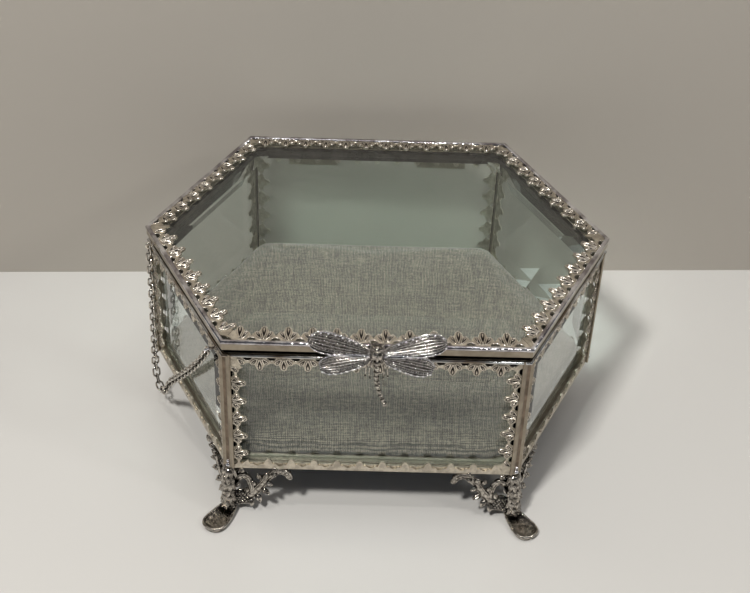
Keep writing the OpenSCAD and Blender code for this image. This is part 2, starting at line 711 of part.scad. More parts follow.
// Its route from eye to eye, as [distance from the left corner, height above the table]
ROUTE = [[9.4, lid_eye_z], [9.4, 74], [9, 65], [8.2, 56], [7.4, 47], [6.6, 38], [5.8, 29.5], [5, 22],
    [5.2, 15.4], [7.6, 11.2], [11.6, 10.2], [15.2, 12.8], [19.2, 18.4], [24.8, 25.4], [32.8, 33.4],
    [43, 43.9], [53, 54.4], [61, 63.6], [67.6, 71.8], [edge_len(LEFT) - 6.9, wall_eye_z]];

function rope(steps) = let (p = [for (q = ROUTE) [q[0], q[1], 0]]) spline(p, steps);
ROPE = rope(8);
function lengths(p, i = 1, s = [0]) =
    i >= len(p) ? s : lengths(p, i + 1, concat(s, [s[i - 1] + norm(p[i] - p[i - 1])]));
ALONG = lengths(ROPE);
XS = [for (i = [0:len(ROPE) - 1]) [ALONG[i], ROPE[i][0]]];
ZS = [for (i = [0:len(ROPE) - 1]) [ALONG[i], ROPE[i][1]]];
chain_l = ALONG[len(ALONG) - 1];
hung_l = chain_l - 2 * link_l;
links = 2 * ceil(hung_l / link_pitch / 2);
function chain_at(s) = [lookup(s, XS), lookup(s, ZS)];

// Beside the front left wall: X is the distance from the left corner, Z the height
module at_chain() {
    at_edge(LEFT) translate([-edge_len(LEFT) / 2, -chain_out, 0]) children();
}

module ring(r, w) {
    rotate_extrude() translate([r, 0]) circle(w, $fn = 24);
}

// A long link: two half rings and the straight wires between them
module link() {
    run = link_l - link_w;
    for (s = [-1, 1]) {
        translate([s * run, 0, 0]) rotate(s > 0 ? -90 : 90) rotate_extrude(angle = 180)
            translate([link_w, 0]) circle(wire_r, $fn = 24);
        translate([-run, s * link_w, 0]) rotate([0, 90, 0]) cylinder(h = 2 * run, r = wire_r, $fn = 24);
    }
}

// The links, each turned a quarter from the one before
module chain() color(NICKEL) at_chain()
    for (k = [0:links]) let (
        s = link_l + hung_l * k / links,
        p = chain_at(s),
        d = chain_at(min(s + 1, chain_l)) - chain_at(max(s - 1, 0)),
        a = atan2(d[1], d[0])
    ) translate([p[0], 0, p[1]]) rotate([0, -a, 0]) rotate([k % 2 == 0 ? 90 : 0, 0, 0]) link();

// An eye on the lid's band and one on the wall's rim, which hold the end links
eye_r = 1.1;
eye_wire = 0.45;
eye_shank_r = 0.6;
module chain_eye(p, q, out) {
    at_chain() translate([p[0], 0, p[1]]) {
        rotate([0, -atan2(q[1] - p[1], q[0] - p[0]), 0]) ring(eye_r, eye_wire);
        translate([0, eye_r, 0]) rotate([-90, 0, 0]) cylinder(h = chain_out - out - eye_r, r = eye_shank_r);
    }
}
module chain_lid_eye() color(NICKEL) chain_eye(ROUTE[0], ROUTE[1], lid_over);
module chain_wall_eye() color(NICKEL) chain_eye(ROUTE[len(ROUTE) - 1], ROUTE[len(ROUTE) - 2], 0);

floor_plate();
underside_felt();
lining_board();
lining_cushion();
lower_rim();
upper_rim();
wall_pane(0);  // pane_front
wall_pane(1);  // pane_front_right
wall_pane(2);  // pane_back_right
wall_pane(3);  // pane_back
wall_pane(4);  // pane_back_left
wall_pane(5);  // pane_front_left
post(0);  // post_front_left
post(1);  // post_front_right
post(2);  // post_right
post(3);  // post_back_right
post(4);  // post_back_left
post(5);  // post_left
wall_lace(0);  // lace_front
wall_lace(1);  // lace_front_right
wall_lace(2);  // lace_back_right
wall_lace(3);  // lace_back
wall_lace(4);  // lace_back_left
wall_lace(5);  // lace_front_left
foot(0);  // foot_front_left
foot(1);  // foot_front_right
foot(3);  // foot_back_right
foot(4);  // foot_back_left
foot_screws();
wall_leaf(-1);  // wall_leaf_left
wall_leaf(1);  // wall_leaf_right
hinge_pin(-1);  // hinge_pin_left
hinge_pin(1);  // hinge_pin_right
wall_leaf_rivets();
lid_frame();
lid_pane();
lid_lace(0);  // lid_lace_front
lid_lace(1);  // lid_lace_front_right
lid_lace(2);  // lid_lace_back_right
lid_lace(3);  // lid_lace_back
lid_lace(4);  // lid_lace_back_left
lid_lace(5);  // lid_lace_front_left
lid_leaf(-1);  // lid_leaf_left
lid_leaf(1);  // lid_leaf_right
dragonfly_body();
dragonfly_wings();
dragonfly_stones();
dragonfly_stud();
chain_lid_eye();
chain_wall_eye();
chain();
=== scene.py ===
import math

import bpy
import numpy as np
from mathutils import Matrix, Vector


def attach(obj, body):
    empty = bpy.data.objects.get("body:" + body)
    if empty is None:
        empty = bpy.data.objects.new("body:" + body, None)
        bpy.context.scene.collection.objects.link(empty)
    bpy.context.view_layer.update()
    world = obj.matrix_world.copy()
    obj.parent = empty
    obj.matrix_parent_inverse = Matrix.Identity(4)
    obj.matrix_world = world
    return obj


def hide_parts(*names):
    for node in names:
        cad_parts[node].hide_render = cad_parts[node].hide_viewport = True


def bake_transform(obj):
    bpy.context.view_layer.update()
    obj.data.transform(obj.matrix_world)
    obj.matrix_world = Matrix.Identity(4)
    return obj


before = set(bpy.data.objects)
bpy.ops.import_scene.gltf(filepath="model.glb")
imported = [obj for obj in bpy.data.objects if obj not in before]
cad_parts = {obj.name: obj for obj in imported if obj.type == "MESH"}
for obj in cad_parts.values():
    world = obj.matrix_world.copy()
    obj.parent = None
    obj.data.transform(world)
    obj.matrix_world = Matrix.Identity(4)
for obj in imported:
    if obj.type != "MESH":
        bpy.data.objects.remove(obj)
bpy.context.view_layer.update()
mm = 0.001  # shapes below are worked out in millimetres
x3, y3, z3 = np.eye(3)

casket = {
    "frontEdge": 110.0,
    "width": 181.0,
    "depth": 140.0,
    "underZ": 23.0,
    "rimZ": 79.5,
    "bandTopZ": 84.6,
    "lidOver": 0.8,
    "sheet": 0.6,  # thickness of the stamped lace
    "seat": 0.05,
    "pitch": 8.68,  # spacing of the palmettes
    "fold": 2.8,  # how much of the bottom strip is folded under
}


def gridFaces(nu, nv, closeU=False, closeV=False):
    # quads between point (i, j) and its neighbours, for points numbered i * nv + j
    rows, columns = np.arange(nu if closeU else nu - 1), np.arange(nv if closeV else nv - 1)
    i, j = (v.ravel() for v in np.meshgrid(rows, columns, indexing="ij"))
    a, b = (i + 1) % nu, (j + 1) % nv
    return np.stack([i * nv + j, a * nv + j, a * nv + b, i * nv + b], 1)


def tubeFaces(rings, around):
    # rings of points joined into a tube, with a cap at each end
    cap = np.arange(around)[None]
    return [gridFaces(rings, around, False, True), cap[:, ::-1], (rings - 1) * around + cap]


def fanFaces(around, first, tip, turned=False):
    # triangles between the tip and the ring of points that starts at number first
    j = np.arange(around)
    pair = [first + j, first + (j + 1) % around]
    return np.stack((pair[::-1] if turned else pair) + [np.full(around, tip)], 1)


def unit(v):
    return v / np.maximum(np.linalg.norm(v, axis=-1, keepdims=True), 1e-9)


def sweep(path, side, up, rSide, rUp, sides, closed=True):
    # point = path + side * rSide cos(p) + up * rUp sin(p), for k paths of m points at once
    k, m = path.shape[:2]
    p = 2 * np.pi * np.arange(sides) / sides
    rS, rU = (np.broadcast_to(np.asarray(r, float), (k, m))[..., None, None] for r in (rSide, rUp))
    side, up = (np.broadcast_to(v, path.shape)[:, :, None] for v in (side, up))
    c, s = np.cos(p)[None, None, :, None], np.sin(p)[None, None, :, None]
    verts = (path[:, :, None] + side * rS * c + up * rU * s).reshape(k, m * sides, 3)
    return verts, [gridFaces(m, sides, True, True)] if closed else tubeFaces(m, sides)


def domes(loop, middle, up, height, rings):
    # point = middle + (loop - middle) * cos(a) + up * height sin(a), a from 0 to a quarter turn, closed below
    k, m = loop.shape[:2]
    a = np.linspace(0, np.pi / 2, rings + 1)[:-1]
    up = np.broadcast_to(up, (k, 3))
    rows = middle[:, None, None] + (loop - middle[:, None])[:, None] * np.cos(a)[None, :, None, None]
    rows = rows + up[:, None, None] * height * np.sin(a)[None, :, None, None]
    top = middle + up * height
    verts = np.concatenate([rows.reshape(k, rings * m, 3), top[:, None], middle[:, None]], 1)
    fans = [fanFaces(m, (rings - 1) * m, rings * m), fanFaces(m, 0, rings * m + 1, True)]
    return verts, [gridFaces(rings, m, False, True)[:, ::-1], np.concatenate(fans)]


def balls(middle, radius, around, rows):
    # point = middle + radius (sin b cos a, sin b sin a, cos b)
    b = np.pi * np.arange(1, rows) / rows
    a = 2 * np.pi * np.arange(around) / around
    ring = np.stack([
        np.outer(np.sin(b), np.cos(a)), np.outer(np.sin(b), np.sin(a)), np.outer(np.cos(b), np.ones(around)),
    ], -1)
    ring = np.concatenate([ring.reshape(-1, 3), [[0, 0, 1], [0, 0, -1]]])
    radius = np.broadcast_to(np.asarray(radius, float), (len(middle),))
    verts = middle[:, None] + ring[None] * radius[:, None, None]
    pole = (rows - 1) * around
    fans = [fanFaces(around, 0, pole), fanFaces(around, pole - around, pole + 1, True)]
    return verts, [gridFaces(rows - 1, around, False, True), np.concatenate(fans)]


def eggs(middle, thick, wide, long, around, rows, point=0.0):
    # point = middle + (thick cos a + wide sin a) sin b (1 - point cos b) + long cos b
    given = (np.atleast_2d(np.asarray(v, float)) for v in (middle, thick, wide, long))
    middle, thick, wide, long = (v[:, None] for v in np.broadcast_arrays(*given))
    ball, faces = balls(np.zeros((1, 3)), 1.0, around, rows)
    x, y, z = (ball[0][:, n:n + 1] for n in range(3))
    narrow = 1 - point * z
    return middle + thick * (x * narrow) + wide * (y * narrow) + long * z, faces


def turnedOut(verts, faces):
    # each shell's faces run so that its volume, the sum of a . (b x c) / 6, is positive
    k, n = verts.shape[:2]
    volume = np.zeros(k)
    for f in faces:
        v = verts[:, f] - verts[:, :1, None]
        for t in range(1, f.shape[1] - 1):
            volume += np.einsum("kfi,kfi->k", v[:, :, 0], np.cross(v[:, :, t], v[:, :, t + 1]))
    out = []
    for f in faces:
        every = f[None] + (np.arange(k) * n)[:, None, None]
        every = np.where((volume < 0)[:, None, None], every[:, :, ::-1], every)
        out.append(every.reshape(-1, f.shape[1]))
    return verts.reshape(-1, 3), out


def makePiece(name, shells, look, body, sharp=None):
    # one smooth mesh of many closed shells; sharp is the angle above which an edge stays sharp
    verts, faces, start = [], [], 0
    for shell in shells:
        v, fs = turnedOut(np.asarray(shell[0], float), shell[1])
        verts.append(v)
        for f in fs:
            faces += (f + start).tolist()
        start += len(v)
    mesh = bpy.data.meshes.new(name)
    mesh.from_pydata((np.concatenate(verts) * mm).tolist(), [], faces)
    mesh.polygons.foreach_set("use_smooth", np.full(len(mesh.polygons), True))
    if sharp:
        mesh.set_sharp_from_angle(angle=math.radians(sharp))
    mesh.materials.append(looks[look])
    piece = bpy.data.objects.new(name, mesh)
    bpy.context.scene.collection.objects.link(piece)
    if body:
        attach(piece, body)
    return piece


# corner 0 of the hexagon is front left and the corners run anticlockwise
signs = np.array([[-1, -1], [1, -1], [1, 0], [1, 1], [-1, 1], [-1, 0]], float)
sideAngle = math.atan2(casket["depth"] / 2, (casket["width"] - casket["frontEdge"]) / 2)
wallNames = ["front", "front_right", "back_right", "back", "back_left", "front_left"]


def hexCorner(i, inset):
    sx, sy = signs[i % 6]
    inset = np.asarray(inset, float)
    if sy == 0:
        return np.stack([sx * (casket["width"] / 2 - inset / math.sin(sideAngle)), 0 * inset], -1)
    x = sx * (casket["frontEdge"] / 2 - inset * math.tan(sideAngle / 2))
    return np.stack([x, sy * (casket["depth"] / 2 - inset)], -1)


def turnAt(i):
    # how far the wall's direction turns at corner i
    return math.pi - 2 * sideAngle if signs[i % 6][1] == 0 else sideAngle


def wallOf(i):
    # middle of edge i, the direction along it, the direction into the box and half its length
    a, b = hexCorner(i, 0.0), hexCorner(i + 1, 0.0)
    along = (b - a) / np.linalg.norm(b - a)
    return (a + b) / 2, along, np.array([-along[1], along[0]]), np.linalg.norm(b - a) / 2


def onWall(i, x, out, z):
    # point = middle of the edge + along * x - inward * out, at height z
    mid, along, inward, _ = wallOf(i)
    x, out, z = np.broadcast_arrays(np.asarray(x, float), out, z)
    flat = mid + along * x[..., None] - inward * out[..., None]
    return np.concatenate([flat, z[..., None]], -1)


def wallOut(i):
    return np.append(-wallOf(i)[2], 0.0)


def hexBand(profile):
    # a closed profile of (inset, height) carried round the six corners
    p = np.asarray(profile, float)
    ring = [np.concatenate([hexCorner(i, p[:, 0]), p[:, 1:]], 1) for i in range(6)]
    return np.stack(ring).reshape(1, -1, 3), [gridFaces(6, len(p), True, True)]


def feed(tree, node, values):
    # each input gets a link when its value is a socket, or else the plain value
    for key, value in values.items():
        if isinstance(value, bpy.types.NodeSocket):
            tree.links.new(value, node.inputs[key])
        else:
            node.inputs[key].default_value = value
    return node


def addNode(tree, kind, values={}, **settings):
    node = tree.nodes.new(kind)
    for key, value in settings.items():
        setattr(node, key, value)
    return feed(tree, node, values)


def addMath(tree, operation, *values, **settings):
    return addNode(tree, "ShaderNodeMath", dict(enumerate(values)), operation=operation, **settings).outputs[0]


def addVector(tree, operation, first, second):
    return addNode(tree, "ShaderNodeVectorMath", {0: first, 1: second}, operation=operation).outputs[0]


def addNoise(tree, where, scale, detail, rough=0.5):
    return addNode(tree, "ShaderNodeTexNoise", {"Vector": where, "Scale": scale, "Detail": detail, "Roughness": rough})


def addSpread(tree, value, low, high):
    # 0 up to the low value, 1 from the high one on
    return addNode(tree, "ShaderNodeMapRange", {"Value": value, "From Min": low, "From Max": high}).outputs["Result"]


def addMix(tree, share, low, high):
    # the low colour where the share is 0, the high one where it is 1
    return addNode(tree, "ShaderNodeMix", {0: share, 6: low, 7: high}, data_type="RGBA").outputs[2]


def objectSpace(tree):
    return addNode(tree, "ShaderNodeTexCoord").outputs["Object"]


def newGroup(name, colours, numbers, results):
    # inputs that are colours, inputs that are numbers, and outputs, of which only Color is a colour
    group = bpy.data.node_groups.new(name, "ShaderNodeTree")
    for label in colours + numbers:
        kind = "NodeSocketColor" if label in colours else "NodeSocketFloat"
        group.interface.new_socket(label, in_out="INPUT", socket_type=kind)
    for label in results:
        kind = "NodeSocketColor" if label == "Color" else "NodeSocketFloat"
        group.interface.new_socket(label, in_out="OUTPUT", socket_type=kind)
    return group, group.nodes.new("NodeGroupInput").outputs, group.nodes.new("NodeGroupOutput")


def buildPlating():
    # cloudy plating: two sizes of noise shift the colour and the roughness, and fine grain is the bump height
    group, given, leave = newGroup(
        "plating", ["Tint", "Shade"], ["Roughness", "Cloud", "Grain"], ["Color", "Roughness", "Height"])
    where = objectSpace(group)
    cloud = addNoise(group, where, given["Cloud"], 3.0, 0.6).outputs["Fac"]
    grain = addNoise(group, where, given["Grain"], 2.0).outputs["Fac"]
    worn = addMath(group, "MULTIPLY_ADD", grain, 0.16, -0.08)
    feed(group, leave, {
        "Color": addMix(group, addSpread(group, cloud, 0.38, 0.62), given["Shade"], given["Tint"]),
        "Roughness": addMath(group, "ADD", worn, given["Roughness"], use_clamp=True),
        "Height": grain,
    })
    return group


def buildWeave():
    # plain weave: warp and weft are sine bands along X and Y, each over the other by turns, with slubs
    group, given, leave = newGroup(
        "weave", ["Light thread", "Dark thread"], ["Threads per metre"], ["Color", "Height"])
    where = objectSpace(group)
    wobble = addNoise(group, where, 90.0, 2.0).outputs["Color"]
    moved = addVector(group, "ADD", where, addVector(group, "MULTIPLY", wobble, (0.0012, 0.0012, 0.0)))
    turns = addNode(group, "ShaderNodeVectorMath", {0: moved, "Scale": given["Threads per metre"]}, operation="SCALE")
    parts = addNode(group, "ShaderNodeSeparateXYZ", {0: turns.outputs[0]}).outputs
    waves = [addMath(group, "SINE", addMath(group, "MULTIPLY", parts[axis], math.pi)) for axis in ("X", "Y")]
    raised = addMath(group, "ABSOLUTE", addMath(group, "MULTIPLY", *waves))
    slub = addNoise(group, where, 700.0, 3.0, 0.7).outputs["Fac"]
    streaks = []
    for stretch in ((2400.0, 90.0, 300.0), (90.0, 2400.0, 300.0)):
        # thicker and thinner threads: noise drawn out along one axis
        streaks.append(addNoise(group, addVector(group, "MULTIPLY", where, stretch), 1.0, 2.0).outputs["Fac"])
    uneven = addMath(group, "MULTIPLY_ADD", addMath(group, "ADD", *streaks), 0.7, slub)
    spread = addSpread(group, addMath(group, "MULTIPLY_ADD", raised, 0.6, uneven), 1.28, 1.78)
    feed(group, leave, {"Color": addMix(group, spread, given["Dark thread"], given["Light thread"]), "Height": raised})
    return group


def buildCrevice():
    # tarnish gathers where little open sky reaches a point
    group, given, leave = newGroup("crevice", ["Color", "Tarnish"], ["Reach"], ["Color"])
    sky = addNode(group, "ShaderNodeAmbientOcclusion", {"Distance": given["Reach"]}, samples=6, only_local=True)
    clear = addSpread(group, sky.outputs["AO"], 0.4, 0.98)
    feed(group, leave, {"Color": addMix(group, clear, given["Tarnish"], given["Color"])})
    return group


plating = buildPlating()
crevice = buildCrevice()
weave = buildWeave()


def newMaterial(name, values):
    material = bpy.data.materials.new(name)
    material.use_nodes = True
    tree = material.node_tree
    return material, tree, feed(tree, tree.nodes["Principled BSDF"], values)


def addBump(tree, height, strength, deep):
    return addNode(tree, "ShaderNodeBump", {"Height": height, "Strength": strength, "Distance": deep}).outputs["Normal"]


def mixedShader(tree, share, first, second):
    both = addNode(tree, "ShaderNodeMixShader", {0: share, 1: first.outputs[0], 2: second.outputs[0]})
    feed(tree, tree.nodes["Material Output"], {"Surface": both.outputs[0]})


metals = {  # cloud and grain are the scales of the noise; deep, of the bump, and reach, of the tarnish, are in metres
    "bright": dict(tint=(0.90, 0.84, 0.75), shade=(0.66, 0.60, 0.52), roughness=0.2,
                   tarnish=(0.07, 0.055, 0.045), reach=0.0012),
    "aged": dict(tint=(0.66, 0.60, 0.50), shade=(0.42, 0.375, 0.31), roughness=0.4, cloud=420.0, bump=0.5),
    # near-black nickel for the domes under the lace's lobes and behind its holes: painted shade
    "paintedShade": dict(tint=(0.060, 0.052, 0.046), shade=(0.020, 0.018, 0.017), roughness=0.45, cloud=420.0),
    "satin": dict(tint=(0.38, 0.33, 0.262), shade=(0.28, 0.24, 0.188), roughness=0.36, cloud=160.0),
    # wall: a darker copy of the bright relief nickel, painted shade of the walls
    "wall": dict(tint=(0.78, 0.71, 0.61), shade=(0.50, 0.45, 0.38), roughness=0.26,
                 tarnish=(0.05, 0.04, 0.035), reach=0.0014),
    "polished": dict(tint=(0.93, 0.92, 0.93), shade=(0.62, 0.62, 0.67), roughness=0.09,
                     cloud=350.0, grain=900.0, bump=0.5),
    # rod: clouds from near-white to dark paint streaks of reflection along the lid rail, beside its bump
    "rod": dict(tint=(0.95, 0.94, 0.97), shade=(0.30, 0.27, 0.28), roughness=0.1,
                cloud=110.0, grain=420.0, bump=1.0, deep=0.0004),
    # near-black nickel for the upper rim: painted shadow under the lid's overhang
    "seam": dict(tint=(0.10, 0.09, 0.085), shade=(0.035, 0.03, 0.03), roughness=0.3, cloud=120.0, grain=500.0),
    # strip: clouds from cool white to dark brown paint wavy reflections on the wall rail
    "strip": dict(tint=(0.74, 0.78, 0.80), shade=(0.26, 0.21, 0.165), roughness=0.12,
                  cloud=60.0, grain=300.0, bump=0.8),
    # groove: dark brown nickel for the strips in the posts' grooves, painted shade
    "groove": dict(tint=(0.26, 0.20, 0.15), shade=(0.15, 0.115, 0.085), roughness=0.4),
    "cast": dict(tint=(0.70, 0.65, 0.58), shade=(0.17, 0.15, 0.13), roughness=0.12,
                 cloud=800.0, grain=1500.0, bump=0.9, deep=0.0002, tarnish=(0.022, 0.019, 0.018), reach=0.0026),
    "wire": dict(tint=(0.26, 0.24, 0.225), shade=(0.09, 0.083, 0.078), roughness=0.3, cloud=900.0),
    "wing": dict(tint=(0.86, 0.83, 0.80), shade=(0.50, 0.47, 0.44), roughness=0.16, cloud=900.0),
    "link": dict(tint=(0.78, 0.73, 0.66), shade=(0.44, 0.40, 0.35), roughness=0.16,
                 cloud=700.0, tarnish=(0.03, 0.027, 0.024), reach=0.0018),
}


def plated(name, tint, shade, roughness, cloud=220.0, grain=2600.0, bump=0.25, deep=0.0001, tarnish=None, reach=0.0):
    material, tree, shader = newMaterial(name, {"Metallic": 1.0})
    look = addNode(tree, "ShaderNodeGroup", {
        "Tint": (*tint, 1), "Shade": (*shade, 1), "Roughness": roughness, "Cloud": cloud, "Grain": grain,
    }, node_tree=plating).outputs
    colour = look["Color"]
    if tarnish:
        aged = {"Color": colour, "Tarnish": (*tarnish, 1), "Reach": reach}
        colour = addNode(tree, "ShaderNodeGroup", aged, node_tree=crevice).outputs["Color"]
    raised = addBump(tree, look["Height"], bump, deep)
    feed(tree, shader, {"Base Color": colour, "Roughness": look["Roughness"], "Normal": raised})
    return material


def makeGlass():
    # clear glass that lets the lamps' rays through, a little green
    material, tree, shader = newMaterial("clearPane", {
        "Base Color": (0.84, 0.89, 0.875, 1), "Roughness": 0.015, "IOR": 1.46, "Transmission Weight": 1.0,
    })
    shadow = addNode(tree, "ShaderNodeLightPath").outputs["Is Shadow Ray"]
    mixedShader(tree, shadow, shader, addNode(tree, "ShaderNodeBsdfTransparent", {"Color": (0.83, 0.865, 0.855, 1)}))
    return material


def makeLinen():
    material, tree, shader = newMaterial("linen", {
        "Roughness": 0.85, "Sheen Weight": 0.25, "Sheen Roughness": 0.5, "Specular IOR Level": 0.25,
    })
    look = addNode(tree, "ShaderNodeGroup", {
        "Light thread": (0.245, 0.205, 0.162, 1), "Dark thread": (0.030, 0.026, 0.021, 1), "Threads per metre": 1500.0,
    }, node_tree=weave).outputs
    feed(tree, shader, {"Base Color": look["Color"], "Normal": addBump(tree, look["Height"], 0.6, 0.0002)})
    return material


def makeSpeckled(name, light, dark, scale, roughness):
    material, tree, shader = newMaterial(name, {"Roughness": roughness})
    speck = addNoise(tree, objectSpace(tree), scale, 4.0, 0.7).outputs["Fac"]
    colour = addMix(tree, speck, (*dark, 1), (*light, 1))
    feed(tree, shader, {"Base Color": colour, "Normal": addBump(tree, speck, 0.5, 0.0002)})
    return material


looks = {name: plated(name + "Nickel", **look) for name, look in metals.items()}
looks["pane"] = makeGlass()
looks["linen"] = makeLinen()
looks["felt"] = makeSpeckled("navyFelt", (0.02, 0.055, 0.12), (0.006, 0.018, 0.045), 2500.0, 0.95)
looks["board"] = makeSpeckled("liningBoard", (0.26, 0.24, 0.19), (0.14, 0.13, 0.10), 900.0, 0.9)
print("materials made")

finishes = {  # by the start of the node's name, the first that fits
    "floor_plate": "satin", "underside_felt": "felt", "lining_board": "board", "lower_rim": "aged",
    # the upper rim's near-black nickel is painted shadow under the lid's overhang
    "upper_rim": "seam", "foot_screws": "satin", "lid_frame": "satin", "wall_leaf_rivets": "bright",
    "dragonfly_stud": "satin", "dragonfly_stones": "polished", "chain_lid_eye": "bright",
    "chain_wall_eye": "polished", "pane_": "pane", "lid_pane": "pane", "post_": "satin", "lace_": "aged",
    "lid_lace_": "aged", "wall_leaf_": "satin", "hinge_pin": "bright", "lid_leaf": "satin",
}
for name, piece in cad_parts.items():
    finish = next((look for start, look in finishes.items() if name.startswith(start)), None)
    if finish:
        for place in piece.material_slots:
            place.material = looks[finish]
print("CAD pieces dressed")

# a palmette has three teardrop lobes, with a raised rim round each and a bright drop in it
palmette = {
    "rootY": [2.0, 2.05, 2.05],
    "rootX": [0.0, -0.8, 0.8],
    "lobeR": [1.28, 1.1, 1.1],  # the round ends of the stamped outline
    "lobeX": [0.0, -2.45, 2.45],
    "lobeDown": [1.28, 3.55, 3.55],  # from the palmette's tip
    "rimIn": 0.36,  # the rim's middle lies this far inside the outline
    "fat": [1.6, 0.9, 0.9],  # how far the widest place lies towards the tip
    "rimHalf": 0.34,
    "rimRise": 0.34,
    "rimSides": 6,
    "drop": 0.5,
    "dropRise": 0.42,
    # the dark domes under the lobes are painted shade in the groove round each drop
    "shadeRise": 0.05,
    "points": 18,
}
hole = {
    "halfWidth": 1.8, "rise": 2.0, "around": 0.1, "footX": 0.9, "footDown": 0.1, "middleUp": 0.8,
    "rimHalf": 0.24, "rimRise": 0.26, "rimSides": 5, "shadeDown": 0.3, "shadeRise": 0.04,
}
steps = np.arange(-8, 9)  # palmettes tried along a strip; those that don't fit in it are dropped


def lobeOutlines(height):
    # a = L (1 - cos t) / 2 along the lobe, b = W sin(t) sin(t/2)^fat across it
    t = 2 * np.pi * (np.arange(palmette["points"]) + 0.5) / palmette["points"]
    fat = np.array(palmette["fat"])[:, None]
    radius = np.array(palmette["lobeR"]) - palmette["rimIn"]
    root = np.stack([palmette["rootX"], palmette["rootY"]], -1)
    end = np.stack([palmette["lobeX"], height - np.array(palmette["lobeDown"])], -1)
    axis = unit(end - root)
    across = np.stack([axis[:, 1], -axis[:, 0]], -1)
    length = (np.linalg.norm(end - root, axis=1) + radius)[:, None]
    shape = np.sin(t) * np.sin(t / 2) ** fat
    b = radius[:, None] * shape / shape.max(axis=1, keepdims=True)
    a = length * (1 - np.cos(t)) / 2
    loop = root[:, None] + axis[:, None] * a[..., None] + across[:, None] * b[..., None]
    return loop, end


def inSpace(flat, to3d):
    # each loop in space, and the direction beside it within the strip's own plane
    along = unit(np.roll(flat, -1, 1) - np.roll(flat, 1, 1))
    path = to3d(flat)
    return path, unit(to3d(flat + np.stack([along[..., 1], -along[..., 0]], -1)) - path)


def stampedRelief(centres, across, upward, height, inside, to3d, out):
    # lobes of each palmette at centre + across * x + upward * y, kept where they lie inside the strip
    loop, head = lobeOutlines(height)
    centres = centres[:, None, None]
    flat = centres + across * loop[..., :1] + upward * loop[..., 1:]
    heads = (centres + across * head[:, :1] + upward * head[:, 1:])[:, 0]
    keep = inside(flat).all(axis=2).ravel()
    flat = flat.reshape(-1, *flat.shape[2:])[keep]
    heads = heads.reshape(-1, 2)[keep]
    if not len(flat):
        return [], []
    path, beside = inSpace(flat, to3d)
    rim = sweep(path, beside, out, palmette["rimHalf"], palmette["rimRise"], palmette["rimSides"])
    drop = to3d(heads[:, None] + (flat - heads[:, None]) * palmette["drop"])
    heads = to3d(heads)
    # the second list holds the dark domes under the lobes, painted shade
    return [rim, domes(drop, heads, out, palmette["dropRise"], 2)], [domes(path, heads, out, palmette["shadeRise"], 1)]


def holeRims(centres, across, upward, rail, inside, to3d, out):
    # a raised half-moon rim round each hole between two palmettes, and behind it a dark dome of painted shade
    a = np.radians(np.arange(0, 181, 20))
    wide, tall, low = hole["halfWidth"] + hole["around"], hole["rise"] + hole["around"], rail - hole["footDown"]
    outline = np.stack([wide * np.cos(a), rail + tall * np.sin(a)], -1)
    outline = np.concatenate([outline, [[-hole["footX"], low], [hole["footX"], low]]])
    flat = centres[:, None] + across * outline[:, :1] + upward * outline[:, 1:]
    middle = centres + upward * (rail + hole["middleUp"])
    keep = inside(flat).all(axis=1)
    flat, middle = flat[keep], middle[keep]
    if not len(flat):
        return [], []
    path, beside = inSpace(flat, to3d)
    down = np.asarray(out) * hole["shadeDown"]
    rims = sweep(path, beside, out, hole["rimHalf"], hole["rimRise"], hole["rimSides"])
    return [rims], [domes(path - down, to3d(middle) - down, out, hole["shadeRise"], 1)]


lidLace = {
    "height": 8.6, "slope": 6.7, "rail": 0.9, "margin": 0.15,
    "phase": [2.9, -4.0, -1.1, -3.5, -4.2, -1.1],  # of each edge's palmettes, from its middle
}


def lidStrip(i):
    half = wallOf(i)[3]
    slope = math.radians(lidLace["slope"])

    def to3d(p, rise=casket["sheet"]):
        # along the edge, up the slope of the lid pane's bevel, and rise above it
        t = -casket["lidOver"] + p[..., 1] * math.cos(slope) - rise * math.sin(slope)
        z = casket["bandTopZ"] + casket["seat"] + p[..., 1] * math.sin(slope) + rise * math.cos(slope)
        return onWall(i, p[..., 0], -t, z)

    def inside(p):
        # between the mitres at the strip's two ends
        t = -casket["lidOver"] + p[..., 1] * math.cos(slope)
        low = -half + t * math.tan(turnAt(i) / 2) + lidLace["margin"]
        high = half - t * math.tan(turnAt(i + 1) / 2) - lidLace["margin"]
        return (p[..., 0] > low) & (p[..., 0] < high)

    out = unit(to3d(np.zeros(2), 1.0) - to3d(np.zeros(2), 0.0))
    ks = lidLace["phase"][i] + casket["pitch"] * steps
    centres = np.stack([ks, 0 * ks], -1)
    across, upward = np.eye(2)
    relief, paintedShades = stampedRelief(centres, across, upward, lidLace["height"], inside, to3d, out)
    holes = centres + [casket["pitch"] / 2, 0]
    rims = holeRims(holes, across, upward, lidLace["rail"], inside, to3d, out)[0]
    makePiece("lid_relief_" + wallNames[i], relief + rims, "bright", "lid")
    # the lid lace's dark domes are painted shade
    makePiece("lid_painted_shade_" + wallNames[i], paintedShades, "paintedShade", "lid")


wallLace = {
    "height": 7.6, "rail": 1.0, "postRail": 1.5, "endIn": 0.4, "margin": 0.12, "foldTop": 0.35, "postIn": 1.7,
    "topPhase": [1.4, 0, 0, 0, 0, 0], "lowPhase": [3.8, 0, 0, 0, 0, 0],
    "startTip": 33.8, "endTip": 29.5,  # height of one palmette on the strips along the posts
}


